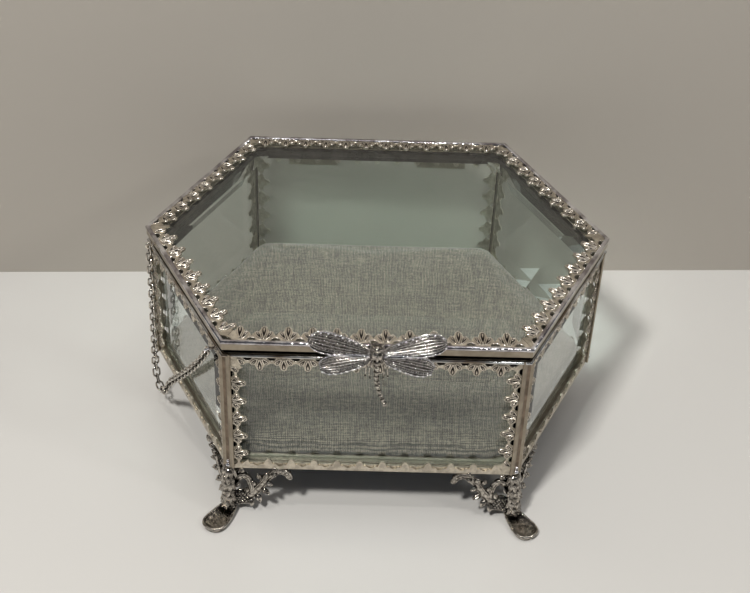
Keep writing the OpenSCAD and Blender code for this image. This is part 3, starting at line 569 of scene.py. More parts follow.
def wallStrips(i):
    half = wallOf(i)[3] - wallLace["endIn"]
    low, tall = -casket["fold"], casket["rimZ"] - casket["underZ"]
    pitch, margin, out = casket["pitch"], wallLace["margin"], wallOut(i)

    def to3d(p):
        return onWall(i, p[..., 0], 0.0, casket["underZ"] + p[..., 1])

    def inside(p):
        # within the strip's own mitred part of the wall
        x, z = np.abs(p[..., 0]), p[..., 1]
        if which == "top":
            return x < half - (tall - z) - margin
        if which == "low":
            return (x < half - (z - low) - margin) & (z > wallLace["foldTop"])
        v = half - x
        beside = (z > wallLace["foldTop"]) & (x < half - wallLace["postIn"])
        return (z < tall - v - margin) & (z > low + v + margin) & beside

    x2, y2 = np.eye(2)
    relief, paintedShades = [], []
    for which in ("top", "low", "start", "end"):
        if which in ("top", "low"):
            level = wallLace[which + "Phase"][i] + pitch * steps
            centres = np.stack([level, np.full(len(steps), tall if which == "top" else low)], -1)
            across, upward, rail = x2, -y2 if which == "top" else y2, wallLace["rail"]
        else:
            sign = 1.0 if which == "end" else -1.0
            centres = np.stack([np.full(len(steps), sign * half), wallLace[which + "Tip"] + pitch * steps], -1)
            across, upward, rail = y2, -sign * x2, wallLace["postRail"]
        lobes, lobeShades = stampedRelief(centres, across, upward, wallLace["height"], inside, to3d, out)
        rims, holeShades = holeRims(centres + across * pitch / 2, across, upward, rail, inside, to3d, out)
        relief += lobes + rims
        paintedShades += lobeShades + holeShades
    # the wall relief is darker than the lid's: painted shade of the walls
    makePiece("wall_relief_" + wallNames[i], relief, "wall", "casket")
    # the wall lace's dark domes are painted shade
    makePiece("wall_painted_shade_" + wallNames[i], paintedShades, "paintedShade", "casket")


for i in range(6):
    lidStrip(i)
    wallStrips(i)
print("stamped relief made")

rails = {  # round rods; the inset is from the wall's plane
    # the lid rail's near-white and dark clouds are painted reflection
    "lid_rail": {"inset": -0.28, "z": 85.0, "radius": 0.92, "look": "rod", "body": "lid"},
    # the wall rail's cool white and brown clouds are painted reflection
    "wall_rail": {"inset": -0.25, "z": 78.9, "radius": 0.72, "look": "strip", "body": "casket"},
}
railSides = 14


def makeRail(name, rail):
    # a circle carried round the hexagon; the material's bump makes it look uneven
    a = 2 * np.pi * np.arange(railSides) / railSides
    circle = np.stack([rail["inset"] + rail["radius"] * np.cos(a), rail["z"] + rail["radius"] * np.sin(a)], -1)
    makePiece(name, [hexBand(circle)], rail["look"], rail["body"], sharp=50)


for name, rail in rails.items():
    makeRail(name, rail)
print("rails made")

post = {
    "halfWall": 2.1, "out": 1.0, "grooveR": 2.4, "grooveDeep": 0.15,
    "halfWidth": 0.78, "lift": 0.05, "thick": 0.12, "lowZ": 24.0, "highZ": 79.2,  # of the dark strip in the groove, painted shade
    "knobs": [[0.15, 24.6, 0.95], [0.1, 26.6, 0.7], [0.1, 78.6, 0.6]],  # out from the face, height, radius
}


def atCorner(i, p):
    # X points straight out of the box at corner i
    along = wallOf(i)[1]
    angle = math.atan2(along[1], along[0]) - math.pi / 2 - turnAt(i) / 2
    x = np.array([math.cos(angle), math.sin(angle)])
    y = np.array([-x[1], x[0]])
    flat = hexCorner(i, 0.0) + x * p[..., :1] + y * p[..., 1:2]
    return np.concatenate([flat, p[..., 2:]], -1)


# a thin dark strip in each post's groove: painted shade of the groove
def postGrooveShade(i):
    half = math.pi / 2 - turnAt(i) / 2
    faceX = -post["halfWall"] * math.cos(half) + post["out"] * math.sin(half)
    grooveX = faceX + post["grooveR"] - post["grooveDeep"]
    y = np.linspace(-post["halfWidth"], post["halfWidth"], 7)
    front = grooveX - np.sqrt(post["grooveR"] ** 2 - y ** 2) + post["lift"]
    outline = np.concatenate([np.stack([front, y], -1), np.stack([front - post["thick"], y], -1)[::-1]])
    z = np.linspace(post["lowZ"], post["highZ"], 12)
    level = np.repeat(z, len(outline)).reshape(len(z), -1, 1)
    p = np.concatenate([np.tile(outline, (len(z), 1, 1)), level], -1)
    out, z, radius = np.array(post["knobs"]).T
    knobs = np.stack([faceX + out, 0 * z, z], -1)
    shadeStrip = atCorner(i, p).reshape(1, -1, 3), tubeFaces(*p.shape[:2])
    return shadeStrip, balls(atCorner(i, knobs), radius, 10, 7)


grooveShades, knobs = zip(*(postGrooveShade(i) for i in range(6)))
# the dark strips are painted shade of the grooves
makePiece("post_groove_shades", grooveShades, "groove", "casket", sharp=40)
makePiece("post_knobs", knobs, "polished", "casket")
print("posts made")

chain = {
    "out": 3.2, "halfLong": 2.15, "halfWide": 1.4, "wireR": 0.4, "links": 53, "wall": 5,
    # distance from the wall's left corner and height, from the wall's eye to the lid's
    "route": [[9.4, 83.2], [9.4, 74], [9, 65], [8.2, 56], [7.4, 47], [6.6, 38], [5.8, 29.5], [5, 22], [5.2, 15.4],
              [7.6, 11.2], [11.6, 10.2], [15.2, 12.8], [19.2, 18.4], [24.8, 25.4], [32.8, 33.4], [43, 43.9],
              [53, 54.4], [61, 63.6], [67.6, 71.8], [71.59, 77.2]],
    "blendFrom": [71.6, 77.2], "blendTo": [13.4, 95.8],  # two more points, as distance from the wall's left corner and height
}


def throughPoints(p, steps):
    # a smooth curve through the points: 0.5 (2 p1 + (p2 - p0) u + ... u^2 + ... u^3)
    p = np.asarray(p, float)
    n = len(p)
    i = np.repeat(np.arange(n - 1), steps)
    u = np.tile(np.arange(steps) / steps, n - 1)[:, None]
    p0, p1, p2, p3 = p[np.maximum(i - 1, 0)], p[i], p[i + 1], p[np.minimum(i + 2, n - 1)]
    square, cube = 2 * p0 - 5 * p1 + 4 * p2 - p3, 3 * p1 - p0 - 3 * p2 + p3
    q = 0.5 * (2 * p1 + (p2 - p0) * u + square * u ** 2 + cube * u ** 3)
    return np.concatenate([q, p[-1:]])


def makeChain():
    rope = throughPoints(chain["route"], 8)
    s = np.concatenate([[0], np.cumsum(np.linalg.norm(np.diff(rope, axis=0), axis=1))])
    n, r, w, wall = chain["links"], chain["halfLong"], chain["halfWide"], chain["wall"]
    at = r + (s[-1] - 2 * r) * np.arange(n) / (n - 1)

    def spot(t):
        return np.stack([np.interp(t, s, rope[:, 0]), np.interp(t, s, rope[:, 1])], -1)

    def placed(p):
        return onWall(wall, p[..., 0] - wallOf(wall)[3], chain["out"], p[..., 1])

    run = unit(spot(np.minimum(at + 1, s[-1])) - spot(np.maximum(at - 1, 0)))
    along, out = np.append(wallOf(wall)[1], 0.0), wallOut(wall)
    run3 = run[:, :1] * along + run[:, 1:] * z3
    cross3 = -run[:, 1:] * along + run[:, :1] * z3
    level = (np.arange(n) % 2 == 0)[:, None]  # even links lie in the chain's plane
    second, normal = np.where(level, cross3, out), np.where(level, out, cross3)
    # a link is two half rings of radius w, their middles r - w either side of its own
    a = (2 * np.pi * (np.arange(18) + 0.5) / 18)[None, :, None]
    radial = run3[:, None] * np.cos(a) + second[:, None] * np.sin(a)
    path = placed(spot(at))[:, None] + radial * w + run3[:, None] * (r - w) * np.sign(np.cos(a))
    normal = np.broadcast_to(normal[:, None], path.shape)
    links = sweep(path, radial, normal, chain["wireR"], chain["wireR"], 7)
    piece = makePiece("hanging_chain", [links], "link", None)
    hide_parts("chain")
    ends = [placed(np.array(chain[k])) * mm for k in ("blendFrom", "blendTo")]
    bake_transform(piece)


makeChain()
print("chain made")

cushion = {
    "inset": 5.3, "lowZ": 26.25, "height": 7.7, "round": 2.6, "tuck": 0.9,
    "crown": 1.0, "crownReach": 40.0, "crownPower": 2.2,
    "cornerNear": 5.0, "cornerPull": 0.9,  # the corners are drawn in a little
    "aroundSteps": 28, "topRings": 16, "lastIn": 68.0,
    # low swells of the top: height, then length and shift along x and along y
    "swells": [[0.12, 9.0, 1.3, 11.0, 0.0], [0.07, 3.7, 0.0, 4.3, 0.6]],
    "voxel": 0.0021, "pressure": 4.0, "frames": 20,
    "heldUp": 0.0008, "reach": 0.0007,  # how far up the foot is held and how far a point may move, in metres
}


def finalMesh(piece):
    return bpy.data.meshes.new_from_object(piece.evaluated_get(bpy.context.evaluated_depsgraph_get()))


def pointsOf(mesh):
    points = np.empty(len(mesh.vertices) * 3, np.float32)
    mesh.vertices.foreach_get("co", points)
    return points.reshape(-1, 3)


def puffed(piece):
    # the pad is remeshed evenly, blown up as cloth with its foot held, and no point moves further than the reach
    scene = bpy.context.scene
    even = piece.modifiers.new("even", "REMESH")
    even.mode, even.voxel_size, even.use_smooth_shade = "VOXEL", cushion["voxel"], True
    bpy.context.view_layer.update()
    mesh = finalMesh(piece)
    piece.modifiers.clear()
    piece.data = mesh
    start = pointsOf(mesh)
    held = piece.vertex_groups.new(name="held")
    low = np.nonzero(start[:, 2] < cushion["lowZ"] * mm + cushion["heldUp"])[0]
    held.add(low.tolist(), 1.0, "REPLACE")
    cloth = piece.modifiers.new("cloth", "CLOTH")
    cloth.settings.use_pressure = True
    cloth.settings.uniform_pressure_force = cushion["pressure"]
    cloth.settings.vertex_group_mass = "held"
    cloth.settings.effector_weights.gravity = 0.0
    cloth.point_cache.frame_start, cloth.point_cache.frame_end = 1, cushion["frames"]
    for f in range(1, cushion["frames"] + 1):
        scene.frame_set(f)
    step = pointsOf(finalMesh(piece)) - start
    far = np.linalg.norm(step, axis=1, keepdims=True)
    step = step * np.minimum(1, cushion["reach"] / np.maximum(far, 1e-9))
    piece.modifiers.clear()
    piece.vertex_groups.clear()
    piece.data.vertices.foreach_set("co", (start + step).ravel())
    finer = piece.modifiers.new("finer", "SUBSURF")
    finer.levels = finer.render_levels = 1
    mesh = finalMesh(piece)
    piece.modifiers.clear()
    piece.data = mesh
    mesh.polygons.foreach_set("use_smooth", np.full(len(mesh.polygons), True))
    mesh.update()
    scene.frame_set(1)
    print("cushion blown up, furthest move", round(float(far.max()) * 1000, 2), "mm before the cap")


def makeCushion():
    # rings round the hexagon, drawn in at the foot, rounded over and crowned towards the middle
    n, top = cushion["aroundSteps"], cushion["topRings"]
    h, r, tuck = cushion["height"], cushion["round"], cushion["tuck"]
    u = (np.arange(n) + 0.5) / n
    a = np.radians(np.arange(10, 91, 16))
    ins = [[tuck, tuck * 0.4, 0.1, 0], r * (1 - np.cos(a)), np.geomspace(r + 1.5, cushion["lastIn"], top)]
    ins = np.concatenate(ins)
    rise = np.concatenate([[0, h * 0.18, h * 0.38, h * 0.52], h - r + r * np.sin(a), np.full(top, h)])
    edge = np.clip(1 - (ins - r) / cushion["crownReach"], 0, 1)
    crown = cushion["crown"] * (1 - edge ** cushion["crownPower"]) * (ins > r)
    rings = []
    for t, z in zip(ins, rise + crown):
        loop = []
        for i in range(6):
            p, q = hexCorner(i, cushion["inset"] + t), hexCorner(i + 1, cushion["inset"] + t)
            loop.append(p + (q - p) * u[:, None])
        loop = np.concatenate(loop)
        near = np.minimum(u, 1 - u) * np.linalg.norm(q - p)
        pull = np.tile(np.clip(1 - near / cushion["cornerNear"], 0, 1) * cushion["cornerPull"], 6)[:, None]
        loop = loop - unit(loop) * pull
        rings.append(np.concatenate([loop, np.full((6 * n, 1), cushion["lowZ"] + z)], 1))
    m = 6 * n
    grid = np.concatenate(rings)
    x, y = grid[:, 0], grid[:, 1]
    puff = sum(f * np.sin(x / lx + sx) * np.sin(y / ly + sy) for f, lx, sx, ly, sy in cushion["swells"])
    grid[:, 2] += np.where(grid[:, 2] > cushion["lowZ"] + h - 1, puff, 0)
    verts = np.concatenate([grid, [[0, 0, cushion["lowZ"]], [0, 0, grid[-m:, 2].mean()]]])
    fans = [fanFaces(m, 0, len(grid), True), fanFaces(m, len(grid) - m, len(grid) + 1)]
    faces = [gridFaces(len(rings), m, False, True), np.concatenate(fans)]
    piece = makePiece("linen_cushion", [(verts[None], faces)], "linen", "casket")
    puffed(piece)
    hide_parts("lining_cushion")


makeCushion()
print("cushion made")

fly = {
    "wingY": -71.4, "wingT": 0.9, "z": 86.4, "rootX": 1.4,
    "camber": [0.35, 0.25], "sheet": 0.28,
    "veins": [-0.98, -0.72, -0.45, -0.16, 0.14, 0.42, 0.7, 0.98],  # shares of the wing's half width
    "veinRise": [0.62, 0.2], "veinR": 0.15, "edgeR": 0.26,
    "beads": [[-0.94, 30], [0.94, 30], [-0.58, 18], [-0.2, 16], [0.2, 16], [0.6, 18]],  # share and count
    "beadRise": 0.86, "beadR": 0.2, "edgeBeadR": 0.3,
    "barRise": 0.9, "barR": 0.42,
    "plate": [2.6, 79.2, 86.9],  # half width, low edge and high edge of the plate between the wings
}
wings = [
    {"length": 24.0, "half": 5.0, "rootZ": -3.6, "angle": 15.0, "bar": -0.8},
    {"length": 19.8, "half": 4.5, "rootZ": -5.6, "angle": -14.0, "bar": 0.8},
]


def wingHalf(w, u):
    # w sqrt(u (1 - u^5)), scaled so that the widest place is w
    return w * np.sqrt(np.clip(u * (1 - u ** 5), 0, 1)) / math.sqrt(5 / 6 * (1 / 6) ** 0.2)


def onWing(q, s, p, rise):
    # p is (along, across) on the wing, rise is how far it stands out of the back plane
    a = math.radians(q["angle"])
    x = fly["rootX"] + p[..., 0] * math.cos(a) - p[..., 1] * math.sin(a)
    z = fly["z"] + q["rootZ"] + p[..., 0] * math.sin(a) + p[..., 1] * math.cos(a)
    x, z, rise = np.broadcast_arrays(s * x, z, rise)
    return np.stack([x, fly["wingY"] - rise, z], -1)


def wingLine(q, s, share, t, rise):
    # a line that keeps its share of the wing's half width from root to tip
    return onWing(q, s, np.stack([t * q["length"], share * wingHalf(q["half"], t)], -1), rise)


def wingTube(line, wide, thick, sides):
    run = unit(np.gradient(line[None], axis=1))
    return sweep(line[None], np.cross(run, -y3), -y3, wide, thick, sides, False)


def oneWing(q, s):
    # s is the side, -1 or 1; gives the sheet, the veins and the beads
    u, v = np.linspace(0.03, 0.995, 26)[:, None], np.linspace(-1, 1, 9)[None]
    p = np.stack(np.broadcast_arrays(u * q["length"], wingHalf(q["half"], u) * v), -1)
    camber = fly["camber"][0] + fly["camber"][1] * (1 - v ** 2) * np.sin(np.pi * u)
    ring = np.concatenate([onWing(q, s, p, camber), onWing(q, s, p, camber - fly["sheet"])[:, ::-1]], 1)
    sheet = ring.reshape(1, -1, 3), tubeFaces(*ring.shape[:2])
    t = np.linspace(0.03, 0.99, 24)
    veins, beads = [], []
    for share in fly["veins"]:
        rise = fly["veinRise"][0] + fly["veinRise"][1] * (1 - share ** 2) * np.sin(np.pi * t)
        r = fly["edgeR"] if abs(share) > 0.9 else fly["veinR"]
        veins.append(wingTube(wingLine(q, s, share, t, rise), r, r * 1.2, 5))
    for share, count in fly["beads"]:
        spots = wingLine(q, s, share, np.linspace(0.2, 0.97, count), fly["beadRise"])
        beads.append(balls(spots, fly["edgeBeadR"] if abs(share) > 0.9 else fly["beadR"], 6, 4))
    bar = wingLine(q, s, q["bar"], np.linspace(0.05, 0.42, 7), fly["barRise"])
    return sheet, veins, beads + [wingTube(bar, fly["barR"], fly["barR"], 6)]


def makeWings():
    sheets, veins, beads = zip(*(oneWing(q, s) for q in wings for s in (-1, 1)))
    wide, low, high = fly["plate"]
    plate = np.array([[[-wide, 0, low], [wide, 0, low], [wide, 0, high], [-wide, 0, high]]]) + y3 * fly["wingY"]
    box = np.concatenate([plate, plate - y3 * fly["wingT"]], 1)
    sides = np.array([[0, 1, 2, 3], [7, 6, 5, 4], [0, 4, 5, 1], [1, 5, 6, 2], [2, 6, 7, 3], [3, 7, 4, 0]])
    piece = makePiece("wing_filigree", [*sheets, (box, [sides])], "wire", "lid", sharp=60)
    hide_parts("dragonfly_wings")
    makePiece("wing_veins", sum(veins, []), "wing", "lid")
    makePiece("wing_beads", sum(beads, []), "polished", "lid")


makeWings()
print("wings made")

insect = {
    "y": -74.25, "z": 86.4,
    "tailBeads": 10, "tailTop": 5.9, "tailLength": 19.3, "curl": 3.4, "tailR": 1.22, "taper": 0.36, "tipR": 1.08,
    "head": [[0, 0, 0, 1.5], [-1.1, -0.5, 0.8, 0.8], [1.1, -0.5, 0.8, 0.8], [0, -1.2, -0.4, 0.5]],  # place, radius
    # eggs of the chest: place, half sizes and how finely they are cut
    "chest": [[0, 0, -2.5, 1.85, 1.85, 2.3, 16, 12], [-1.2, -0.5, -2.3, 0.75, 1.2, 1.9, 10, 8],
              [1.2, -0.5, -2.3, 0.75, 1.2, 1.9, 10, 8], [0, -1.5, -3.1, 0.55, 0.55, 1.3, 10, 8]],
    # feeler and two legs: start, run, bow, radius, taper, and the ball at the end
    "limbs": [[[0.8, 0, 0.6], [2.8, -0.3, 5.4], [0.35, 0, 0], 0.36, 0.1, (0.6, 10, 7)],
              [[1.02, 0.6, -3.6], [3.0, -0.4, -8.8], [0.9, 0, 0.4], 0.4, 0.12, (0.36, 8, 6)],
              [[0.72, 0.6, -4.4], [1.7, -0.4, -8.8], [0.9, 0, 0.4], 0.4, 0.12, (0.36, 8, 6)]],
}


def makeInsect():
    middle = np.array([0, insect["y"], insect["z"]])
    t = np.linspace(0, 1, insect["tailBeads"])[:, None]
    curl = insect["curl"] * np.clip((t - 0.3) / 0.7, 0, 1) ** 1.8
    path = middle + x3 * curl - z3 * (insect["tailTop"] + insect["tailLength"] * t)
    radius = insect["tailR"] - insect["taper"] * t[:, 0]
    radius[-1] = insect["tipR"]
    head = np.array(insect["head"])
    shells = [
        balls(path, radius, 12, 9),
        balls((path[1:] + path[:-1]) / 2, radius[:-1] * 0.72, 10, 7),
        balls(middle + head[:, :3], head[:, 3], 16, 11),
    ]
    for x, y, z, a, b, c, around, rows in insect["chest"]:
        shells.append(eggs([middle + [x, y, z]], a * x3, b * y3, c * z3, around, rows))
    u = np.linspace(0, 1, 7)[:, None]
    for s in (-1, 1):
        for start, run, bow, r, taper, tip in insect["limbs"]:
            start, run, bow = (np.array(v) * [s, 1, 1] for v in (start, run, bow))
            limb = middle + start + u * run + np.sin(np.pi * u) * bow
            thick = r - taper * u[:, 0]
            shells += [sweep(limb[None], x3, y3, thick, thick, 7, False), balls(limb[-1:], *tip)]
    piece = makePiece("dragonfly_cast", shells, "cast", "lid")
    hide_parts("dragonfly_body")


makeInsect()
print("dragonfly made")

foot = {
    "mid": -1.4,  # the scrolls' middle plane, out from the wall
    # strokes as distance from the corner, height and half width, then thickness, ripple and its count
    "stem": [[-0.5, 4.4, 2.2], [5, 5.4, 2.0], [9.6, 9.2, 1.7], [12.6, 13.4, 1.5], [15.4, 17.8, 1.4],
             [19.2, 21.0, 1.4], [22.3, 19.9, 1.25], [23.5, 17.4, 1.0]],
    "arch": [[0.6, 13.4, 1.6], [3, 16.6, 1.35], [5.8, 18.1, 1.15], [7.9, 16, 1.1], [8.5, 12, 1.05], [8.2, 8.4, 1.1]],
    "stemLook": (1.25, 0.07, 9), "archLook": (1.1, 0.08, 5),
    # each leaf as root, direction from straight down, length, half width
    "leaves": [[8.0, 6.2, 15, 3.4, 1.3], [10.6, 8.4, 30, 3.4, 1.3], [12.6, 11.4, 65, 3.6, 1.3],
               [14.2, 15.0, 80, 2.9, 1.15], [13.6, 17.2, 160, 3.6, 1.35], [12.0, 17.0, 190, 3.4, 1.2],
               [10.0, 13.4, 200, 3.4, 1.1], [6.4, 9.6, 170, 3.6, 1.2], [2.2, 12.6, 150, 3.6, 1.2],
               [16.6, 18.8, 120, 2.4, 1.0], [2.0, 19.6, 190, 3.2, 1.5], [4.4, 20.4, 150, 2.6, 1.3],
               [18.4, 22.0, 220, 2.0, 0.9]],
    "leafOut": 0.9, "leafLean": 0.25, "leafThick": 0.95,
    "rib": {"along": 0.55, "out": 0.75, "thick": 0.42, "wide": 0.25, "long": 0.42},  # shares of its leaf, but out
    "crookR": 0.66, "crookOut": 1.25, "crookEnd": 7.4, "crookTop": 10.4,
    "crookEgg": [4.6, 7.0, 1.3, 3.0, 3.6],  # place, then half thickness, width and height
    "ridges": [0.775, 0.83, 0.885],  # shares of the stem's way
    "leg": [[-6.4, 20.8, 1.5], [-3.4, 19.4, 2.1], [-1.4, 15, 2.2], [-0.8, 10, 2.2], [-0.4, 5.8, 2.2], [1, 2.9, 1.8]],
    # rows of scales on the leg: height, distance out, half width and how far they are turned out of step
    "scales": [[20.4, -1.2, 0.95, 0], [17.6, -0.6, 1.1, 22], [14.6, -0.2, 1.2, 0], [11.6, 0.0, 1.2, 22],
               [8.7, 0.2, 1.15, 0], [6.0, 0.5, 1.0, 22]],
    "scaleTurns": [-88, -44, 0, 44, 88],
    "ankle": [[1.6, -1.2, 3.6], [1.6, 1.2, 3.6], [2.4, 0, 3.3], [1.0, -2.4, 4.2], [1.0, 2.4, 4.2]], "ankleR": 0.8,
    "toe": [[-1, 2.2], [2, 3.2], [5.5, 4], [9, 4.4], [11.6, 3.9], [13, 2.6], [13.5, 1.1]], "toeEnd": 13.75,
    "toeTop": 0.75, "toeHollow": 1.2, "rimZ": 1.75, "rimLift": 0.9, "rimR": 0.62,
    "bossIn": 6.8, "bossZ": 21.6, "bossR": 1.85, "bossWire": 0.78,
}


def footPlace(i, s, p):
    # (distance from the corner along the wall, out from it, height) on the wall to the left or right of corner i
    half = math.pi / 2 - turnAt(i) / 2
    x = -p[..., 0] * math.cos(half) + p[..., 1] * math.sin(half)
    y = s * (p[..., 0] * math.sin(half) + p[..., 1] * math.cos(half))
    return atCorner(i, np.stack([x, y, p[..., 2]], -1))


def stroke(points, thick, ripple, count):
    # a swept tube in the plane of the wall, its width rippled along the way, with a bead down each edge
    c = throughPoints(points, 5)
    path = np.stack([c[:, 0], np.full(len(c), foot["mid"]), c[:, 1]], -1)
    side = np.cross(unit(np.gradient(path, axis=0)), y3)
    wave = 1 + ripple * np.sin(np.linspace(0, count * 2 * np.pi, len(c)))
    shells = [sweep(path[None], side[None], y3, c[:, 2] * wave, thick * wave, 12, False)]
    for e in (-1, 1):
        edge = path + side * (e * (c[:, 2:] - 0.25)) + y3 * (thick * 0.55)
        shells.append(sweep(edge[None], side[None], y3, 0.42 * wave, 0.5 * wave, 7, False))
    shells.append(balls(path[-1:], [c[-1, 2] * 1.25], 12, 9))
    return shells


def footLeaves():
    x, z, turn, length, wide = np.array(foot["leaves"], float).T[..., None]
    turn, rib = np.radians(turn), foot["rib"]
    root = x3 * x + y3 * (foot["mid"] + foot["leafOut"]) + z3 * z
    along = x3 * np.sin(turn) - z3 * np.cos(turn)
    lift = along + foot["leafLean"] * y3
    across = np.cross(along, y3) * wide
    middle = root + lift * length * rib["along"] + rib["out"] * y3
    return [
        eggs(root + lift * length / 2, foot["leafThick"] * y3, across, lift * length / 2, 10, 8, 0.35),
        eggs(middle, rib["thick"] * y3, across * rib["wide"], lift * length * rib["long"], 6, 6, 0.3),
    ]


def footCrook():
    # beads packed in the crook of the scroll, in rows half a bead out of step, on an egg
    j, k = (v.ravel() for v in np.meshgrid(np.arange(5), np.arange(6), indexing="ij"))
    d = 2.1 + 1.25 * j + 0.62 * (k % 2)
    h = 3.6 + 1.1 * k + 0.25 * j
    spots = np.stack([d, foot["mid"] + foot["crookOut"] + 0.25 * np.sin(3.1 * d + 2.3 * h), h], -1)
    spots = spots[(d < foot["crookEnd"]) & (h < foot["crookTop"])]
    x, z, thick, wide, tall = foot["crookEgg"]
    egg = eggs([[x, foot["mid"], z]], thick * y3, wide * x3, tall * z3, 12, 9)
    return [balls(spots, foot["crookR"], 8, 6), egg]


def footRidges():
    # cross ridges near the scroll's end
    c = throughPoints(foot["stem"], 12)
    shells = []
    for share in foot["ridges"]:
        m = int(len(c) * share)
        way = unit(np.array([c[m + 1, 0] - c[m - 1, 0], 0, c[m + 1, 1] - c[m - 1, 1]]))
        middle, across = [[c[m, 0], foot["mid"], c[m, 1]]], np.cross(way, y3) * (c[m, 2] + 0.3)
        shells.append(eggs(middle, 1.5 * y3, across, way * 0.42, 12, 6))
    return shells


def footLeg():
    # a swept leg under the corner, rows of ribbed scales on it and balls at the ankle
    c = throughPoints(foot["leg"], 5)
    path = np.stack([c[:, 0], np.zeros(len(c)), c[:, 1]], -1)
    side = np.cross(unit(np.gradient(path, axis=0)), y3)
    wave = 1 + 0.05 * np.sin(np.linspace(0, 14 * np.pi, len(c)))
    rows = []
    for z, x, wide, stagger in foot["scales"]:
        for turn in foot["scaleTurns"]:
            t = math.radians(turn + (stagger if turn < 80 else -stagger))
            face = np.array([math.cos(t), math.sin(t), 0.0])
            flat = np.array([-math.sin(t), math.cos(t), 0.0]) * wide
            down = unit(0.35 * face - z3)
            middle = np.array([x, 0, z])
            rows.append((middle + face * 2.0, face * 0.9, flat * 1.15, down * 2.3))
            rows.append((middle + face * 2.65, face * 0.42, flat * 0.28, down * 2.0))
    return [
        sweep(path[None], side[None], y3, c[:, 2] * 0.9 * wave, 2.1 * wave, 14, False),
        eggs(*(np.array(v) for v in zip(*rows)), 10, 8, 0.3),
        balls(np.array(foot["ankle"]), foot["ankleR"], 10, 7),
    ]


def footToe():
    # sections across a hollow tongue, z = top + hollow v^2 above and flat below, and a raised rim
    u, v = throughPoints(foot["toe"], 4), np.linspace(-1, 1, 13)
    x, half = u[:, :1], u[:, 1:]
    top = np.stack(np.broadcast_arrays(x, half * v, foot["toeTop"] + foot["toeHollow"] * v ** 2 + 0 * x), -1)
    low = np.stack(np.broadcast_arrays(x, half * v[::-1] * 0.94, 0 * x), -1)
    ring = np.concatenate([top, low], 1)
    edge = np.concatenate([u, [[foot["toeEnd"], 0]], u[::-1] * [1, -1]])
    lift = foot["rimZ"] + foot["rimLift"] * np.clip(1 - edge[:, :1] / 6, 0, 1)
    rim = np.concatenate([edge, lift], 1)
    side = np.cross(unit(np.gradient(rim, axis=0)), z3)
    return [
        (ring.reshape(1, -1, 3), tubeFaces(*ring.shape[:2])),
        sweep(rim[None], side[None], z3, foot["rimR"], foot["rimR"] * 1.15, 9, False),
    ]


def footBoss():
    # a ring that hides the screw's seat under the floor
    a = (2 * np.pi * np.arange(24) / 24)[:, None]
    spoke = np.cos(a) * x3 + np.sin(a) * y3
    ring = foot["bossZ"] * z3 - foot["bossIn"] * x3 + foot["bossR"] * spoke
    return [sweep(ring[None], spoke[None], z3, foot["bossWire"], foot["bossR"], 10)]


def makeFoot(i, name):
    scroll = stroke(foot["stem"], *foot["stemLook"]) + stroke(foot["arch"], *foot["archLook"])
    scroll += footLeaves() + footCrook() + footRidges()
    corner = footLeg() + footToe() + footBoss()
    shells = [(footPlace(i, s, verts), faces) for s in (-1, 1) for verts, faces in scroll]
    shells += [(atCorner(i, verts), faces) for verts, faces in corner]
    piece = makePiece("cast_" + name, shells, "cast", "casket")
    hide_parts(name)


for i, name in ((0, "foot_front_left"), (1, "foot_front_right"), (3, "foot_back_right"), (4, "foot_back_left")):
    makeFoot(i, name)
print("feet made")

studio = {
    "floorHalf": 1.5, "floorColour": (0.64, 0.625, 0.60), "floorRoughness": 0.22,
    "wallHalf": 1.2, "wallY": [0.031, 0.151], "wallTop": 1.4, "wallColour": (0.43, 0.395, 0.35), "wallRoughness": 0.7,
    "aim": (0, 0, 0.04), "skyColour": (0.90, 0.94, 1.0), "skyStrength": 0.13,
}
lamps = {  # place, size, power and colour
    "keyLamp": [(-0.34, -0.62, 1.10), 0.12, 11.0, (1.0, 0.985, 0.95)],
    "topLamp": [(0.28, 0.02, 1.20), 0.5, 1.8, (0.97, 0.98, 1.0)],
    "sideLamp": [(0.75, -0.45, 0.75), 0.12, 1.3, (1.0, 0.98, 0.94)],
    "spotLamp": [(-0.10, -0.30, 1.30), 0.05, 1.8, (1.0, 0.98, 0.95)],
}
camera = {
    "place": (-0.00947, -0.45167, 0.39657), "azimuth": 0.569, "elevation": 37.22, "roll": 1.8787,
    "lens": 66.589, "sensor": 36.0, "shiftX": 0.016, "near": 0.01,
}


def makeStage(name, corners, colour, roughness):
    mesh = bpy.data.meshes.new(name)
    mesh.from_pydata(corners, [], [(0, 1, 2, 3)])
    material, tree, shader = newMaterial(name, {"Base Color": (*colour, 1), "Roughness": roughness})
    mesh.materials.append(material)
    thing = bpy.data.objects.new(name, mesh)
    bpy.context.scene.collection.objects.link(thing)
    return tree, shader


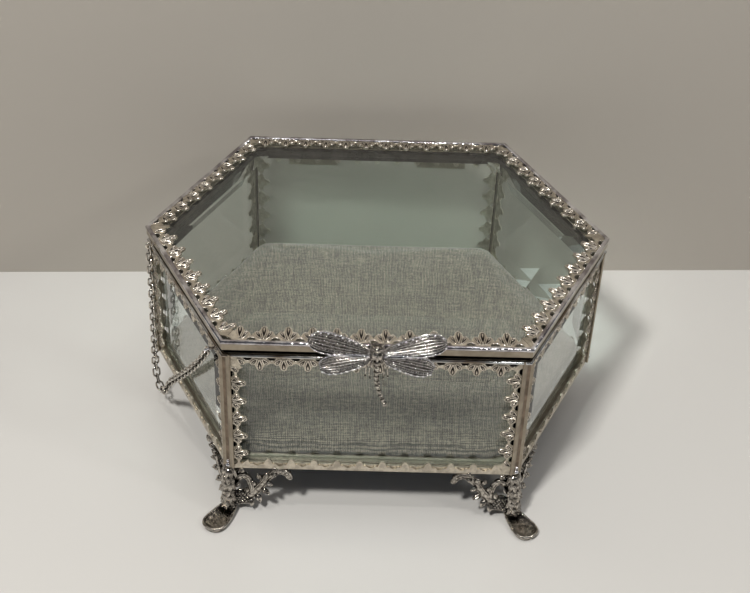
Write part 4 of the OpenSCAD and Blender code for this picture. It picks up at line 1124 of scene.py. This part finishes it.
h = studio["floorHalf"]
makeStage("floor", [(-h, -h, 0), (h, -h, 0), (h, h, 0), (-h, h, 0)], studio["floorColour"], studio["floorRoughness"])
h, top, (left, right) = studio["wallHalf"], studio["wallTop"], studio["wallY"]
backdrop = [(-h, left, 0), (h, right, 0), (h, right, top), (-h, left, top)]
tree, shader = makeStage("backdrop", backdrop, studio["wallColour"], studio["wallRoughness"])
# from behind, the backdrop can be seen through
behind = addNode(tree, "ShaderNodeNewGeometry").outputs["Backfacing"]
mixedShader(tree, behind, shader, addNode(tree, "ShaderNodeBsdfTransparent"))


def addLamp(name, place, size, power, colour):
    lamp = bpy.data.lights.new(name, "AREA")
    lamp.size, lamp.energy, lamp.color = size, power, colour
    thing = bpy.data.objects.new(name, lamp)
    thing.location = place
    thing.rotation_euler = (Vector(studio["aim"]) - Vector(place)).to_track_quat("-Z", "Y").to_euler()
    bpy.context.scene.collection.objects.link(thing)


def makeCamera():
    az, el, roll = (math.radians(camera[k]) for k in ("azimuth", "elevation", "roll"))
    ahead = Vector((math.sin(az) * math.cos(el), math.cos(az) * math.cos(el), -math.sin(el)))
    right = Vector((math.cos(az), -math.sin(az), 0))
    up = right.cross(ahead)
    right, up = right * math.cos(roll) + up * math.sin(roll), up * math.cos(roll) - right * math.sin(roll)
    data = bpy.data.cameras.new("camera")
    data.lens, data.sensor_width, data.shift_x = camera["lens"], camera["sensor"], camera["shiftX"]
    data.clip_start = camera["near"]
    thing = bpy.data.objects.new("camera", data)
    turn = Matrix((right, up, -ahead)).transposed().to_4x4()
    thing.matrix_world = Matrix.Translation(camera["place"]) @ turn
    bpy.context.scene.collection.objects.link(thing)
    bpy.context.scene.camera = thing


for name, lamp in lamps.items():
    addLamp(name, *lamp)
makeCamera()
world = bpy.data.worlds.new("studio")
world.use_nodes = True
feed(world.node_tree, world.node_tree.nodes["Background"], {
    "Color": (*studio["skyColour"], 1), "Strength": studio["skyStrength"],
})
bpy.context.scene.world = world
bpy.context.scene.view_settings.view_transform = "Standard"

print("scene made")
